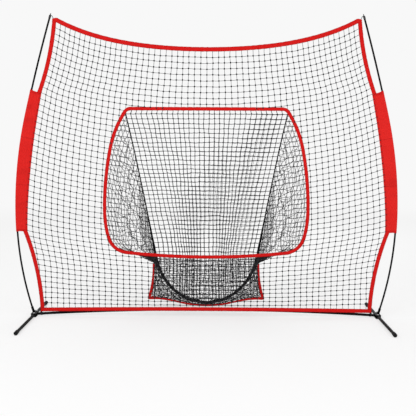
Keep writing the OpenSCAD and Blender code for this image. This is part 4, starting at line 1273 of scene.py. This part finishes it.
def corner_loop_path():
    """From the net's top corner round the nose of the pole's tip and back, as a smooth line."""
    at, h = pose(BOW, BOW_LENGTH)
    hook_r, hook_z, reach, inset, drop = 4.0, 2.7, 9.5, 6, 8
    across, along = xz(math.cos(h), -math.sin(h)), xz(math.sin(h), math.cos(h))

    def by_nose(x, y):
        return in_plane(at, y) + x * across + hook_z * along

    outer = TOP_CORNER + [BINDING_W, TOP_BINDING_W]
    anchor = xz(outer[0] - inset, outer[1] - drop, BINDING_BACK + 1.5)
    turn = np.radians(np.arange(-90, 91, 15))
    return np.stack(
        [anchor, by_nose(-reach, -hook_r)]
        + [by_nose(hook_r * math.cos(a), hook_r * math.sin(a)) for a in turn]
        + [by_nose(-reach, hook_r), anchor + [-1, 2.7, 1]]
    )


def tie_lines():
    """The bottom tie's turn round the crossbar, its tab, and the crossbar's direction there.

    The crossbar is an arc through its ends and its middle, which is higher by its rise r: over the
    half span s its radius is (s^2 + r^2) / 2r.
    """
    half = HALF_SPAN - BRACKET_HALF - 2 * SOFT_GAP
    radius = (half ** 2 + CROSSBAR_RISE ** 2) / (2 * CROSSBAR_RISE)
    swing = math.asin(half / radius) - TIE_BACK / radius
    along, up = xz(math.cos(swing), -math.sin(swing)), xz(math.sin(swing), math.cos(swing))
    centre = radius * up + [0, 0, LEG_HEIGHT + CROSSBAR_RISE - radius] + STRAP_HALF * along
    angle = np.linspace(0, TURN, 41)[:, None] - np.pi / 2 - 0.35
    ring = CROSSBAR_R + SOFT_GAP + STRAP_HALF_THICK
    wrap = centre + ring * (np.cos(angle) * up + np.sin(angle) * np.array([0, 1.0, 0]))
    rise = np.linspace(-4, TIE_TOP_Z - centre[2], 12)[:, None]
    tab = centre + np.array([0, BINDING_BACK + SOFT_GAP + STRAP_HALF_THICK, 0]) + rise * up
    return wrap, tab, along


def small_parts():
    """The corner loops, the bottom ties and the shock cords, on both sides."""
    elastic = braided_cord("elastic_cord", 4 * MM, rgb(16, 16, 18), rgb(56, 56, 60))
    strap_finish = black_webbing("tie_strap", STRAP_HALF)
    wrap, tab, tie_along = tie_lines()
    bow = in_plane(pose(BOW, np.linspace(0.5, BOW_LENGTH - 0.5, 73))[0], 0.0)
    loop = evenly(corner_loop_path(), 46)
    outline = tape(STRAP_HALF, STRAP_HALF_THICK, 4)
    for side, sign in SIDES:
        flip = np.array([sign, 1, 1])
        for name, path, radius, node in (
            ("corner_elastic_", loop, ELASTIC_R, "corner_loop_"),
            ("shock_cord_sheath_", bow, SHOCK_CORD_R, "shock_cord_"),
        ):
            cord = tubes((path * flip)[None], np.array([0.1, 1.0, 0.2]), circle(8) * radius)
            put_mesh(name + side, cord, elastic, [node + side])
        strap = joined(*[
            tubes((path * flip)[None], tie_along * flip, outline, tape_girth(outline))
            for path in (wrap, tab)
        ])
        put_mesh("bottom_strap_" + side, strap, strap_finish, ["bottom_tie_" + side])


# ---- The frame's own nodes ------------------------------------------------------

bare_steel = zinc_steel()


def button_leaves():
    """The snap buttons' leaf springs: welded copies of their nodes."""
    for place in ("joiner_left", "joiner_right", "corner_left", "corner_right"):
        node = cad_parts["button_spring_" + place]
        mesh = node.data.copy()
        mesh.transform(node.matrix_world)
        leaf = bmesh.new()
        leaf.from_mesh(mesh)
        bmesh.ops.remove_doubles(leaf, verts=leaf.verts, dist=0.001 * MM)
        leaf.to_mesh(mesh)
        leaf.free()
        mesh.materials.clear()
        piece = put_piece("button_leaf_" + place, mesh, bare_steel, [node.name])
        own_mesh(piece)


def finish_nodes():
    """Gives every carried-over node its kind's finish. A later kind overrides an earlier one."""
    kinds = (
        (powder_coat(), ("crossbar", "corner_bracket", "pole_socket", "front_leg", "rear_leg")),
        (bare_steel, ("crossbar_joiner", "snap_button", "button_spring")),
        (bare_steel, ("pivot_pin", "pole_ferrules")),
        (cap_rubber(), ("leg_cap",)),
        (tip_plastic(), ("pole_tip",)),
        (glass_fibre(), ("pole_lower", "pole_middle", "pole_upper")),
    )
    for finish, starts in kinds:
        for name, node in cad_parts.items():
            for place in node.material_slots if name.startswith(starts) else ():
                place.material = finish


# ---- Floor, backdrop and light --------------------------------------------------

BACKDROP = 0.939
FLOOR_SHADE = 0.93
FLOOR_GLOW = 0.985
FLOOR_REACH, FLOOR_Z = 60.0, -0.0004
FADE_BETWEEN = (6.0, 60.0)  # squares of the distance from the middle
DAYLIGHT = 0.62
LIT_MIDDLE = (0, 0, 0.9)


def grey(shade):
    """A linear grey."""
    return (shade, shade, shade, 1.0)


def show_apart(tree, lit, seen, output, share=lambda rays: rays):
    """Mixes a shader that lights the scene with one that is seen, also in metal or glass.

    Light Path gives 1 for camera, glossy and transmission rays, and 0 for the rest.
    """
    path = tree.nodes.new("ShaderNodeLightPath")
    rays = path.outputs["Is Camera Ray"]
    for name in ("Is Glossy Ray", "Is Transmission Ray"):
        most = tree.nodes.new("ShaderNodeMath")
        most.operation = "MAXIMUM"
        tree.links.new(rays, most.inputs[0])
        tree.links.new(path.outputs[name], most.inputs[1])
        rays = most.outputs[0]
    mix = tree.nodes.new("ShaderNodeMixShader")
    for socket, source in zip(mix.inputs, (share(rays), lit, seen)):
        tree.links.new(source, socket)
    tree.links.new(mix.outputs[0], tree.nodes[output].inputs["Surface"])


def add_world():
    """A pale backdrop to look at, and an even light that is a little lower."""
    world = bpy.data.worlds.new("studio")
    bpy.context.scene.world = world
    world.use_nodes = True
    tree = world.node_tree
    lit = tree.nodes["Background"]
    lit.inputs["Color"].default_value = grey(1.0)
    lit.inputs["Strength"].default_value = DAYLIGHT
    seen = tree.nodes.new("ShaderNodeBackground")
    seen.inputs["Color"].default_value = grey(BACKDROP)
    show_apart(tree, lit.outputs[0], seen.outputs[0], "World Output")


def add_floor():
    """A wide pale floor just under the caps. What is seen of it is partly its own light, so that
    the net's shadow shows softly. Further out it is all the backdrop's tone, without a horizon."""
    f = Finish("floor", roughness=0.9, specular_ior_level=0.0)
    x, y = (f.axis(f.place(), name) for name in "XY")
    far = (x * x + y * y).rise(*FADE_BETWEEN)
    f.feed(base_color=f.blend(f.noise(1.5), grey(FLOOR_SHADE), grey(FLOOR_SHADE * 1.01)))
    tone = f.blend(far, grey(FLOOR_GLOW), grey(BACKDROP))
    glow = f.node("ShaderNodeEmission", None, {"Color": tone})
    show_apart(f.tree, f.shader.outputs[0], glow.socket, "Material Output",
               lambda rays: ((far * 0.4 + 0.6) * Value(f, rays)).socket)
    mesh = bpy.data.meshes.new("floor")
    corners = [(-1, -1), (1, -1), (1, 1), (-1, 1)]
    points = [(FLOOR_REACH * x, FLOOR_REACH * y, FLOOR_Z) for x, y in corners]
    mesh.from_pydata(points, [], [(0, 1, 2, 3)])
    mesh.materials.append(f.material)
    show("floor", mesh)


def add_lamp(name, at, size, power):
    """A square soft box at a place, turned to the middle of the net."""
    data = bpy.data.lights.new(name, "AREA")
    data.shape, data.size, data.energy = "SQUARE", size, power
    away = unit(np.array(at, float) - LIT_MIDDLE)
    side = unit(np.cross([0.0, 0.0, 1.0], away))
    stand(name, data, at, side, np.cross(away, side))


# ---- Build ----------------------------------------------------------------------

main_net()
pocket_back()
pocket_gusset()
gusset_edge_rolls()
pocket_seam()
pocket_apron()
bindings()
target_ring()
apron_trim()
sleeves()
small_parts()
button_leaves()
finish_nodes()
add_world()
add_floor()
add_lamp("key_box", (-2.6, -4.6, 4.2), 3.2, 150)
add_lamp("fill_box", (3.4, -4.2, 2.4), 3.0, 70)
add_lamp("back_box", (0.5, 4.2, 3.6), 3.0, 60)

bpy.context.scene.view_settings.view_transform = "Standard"
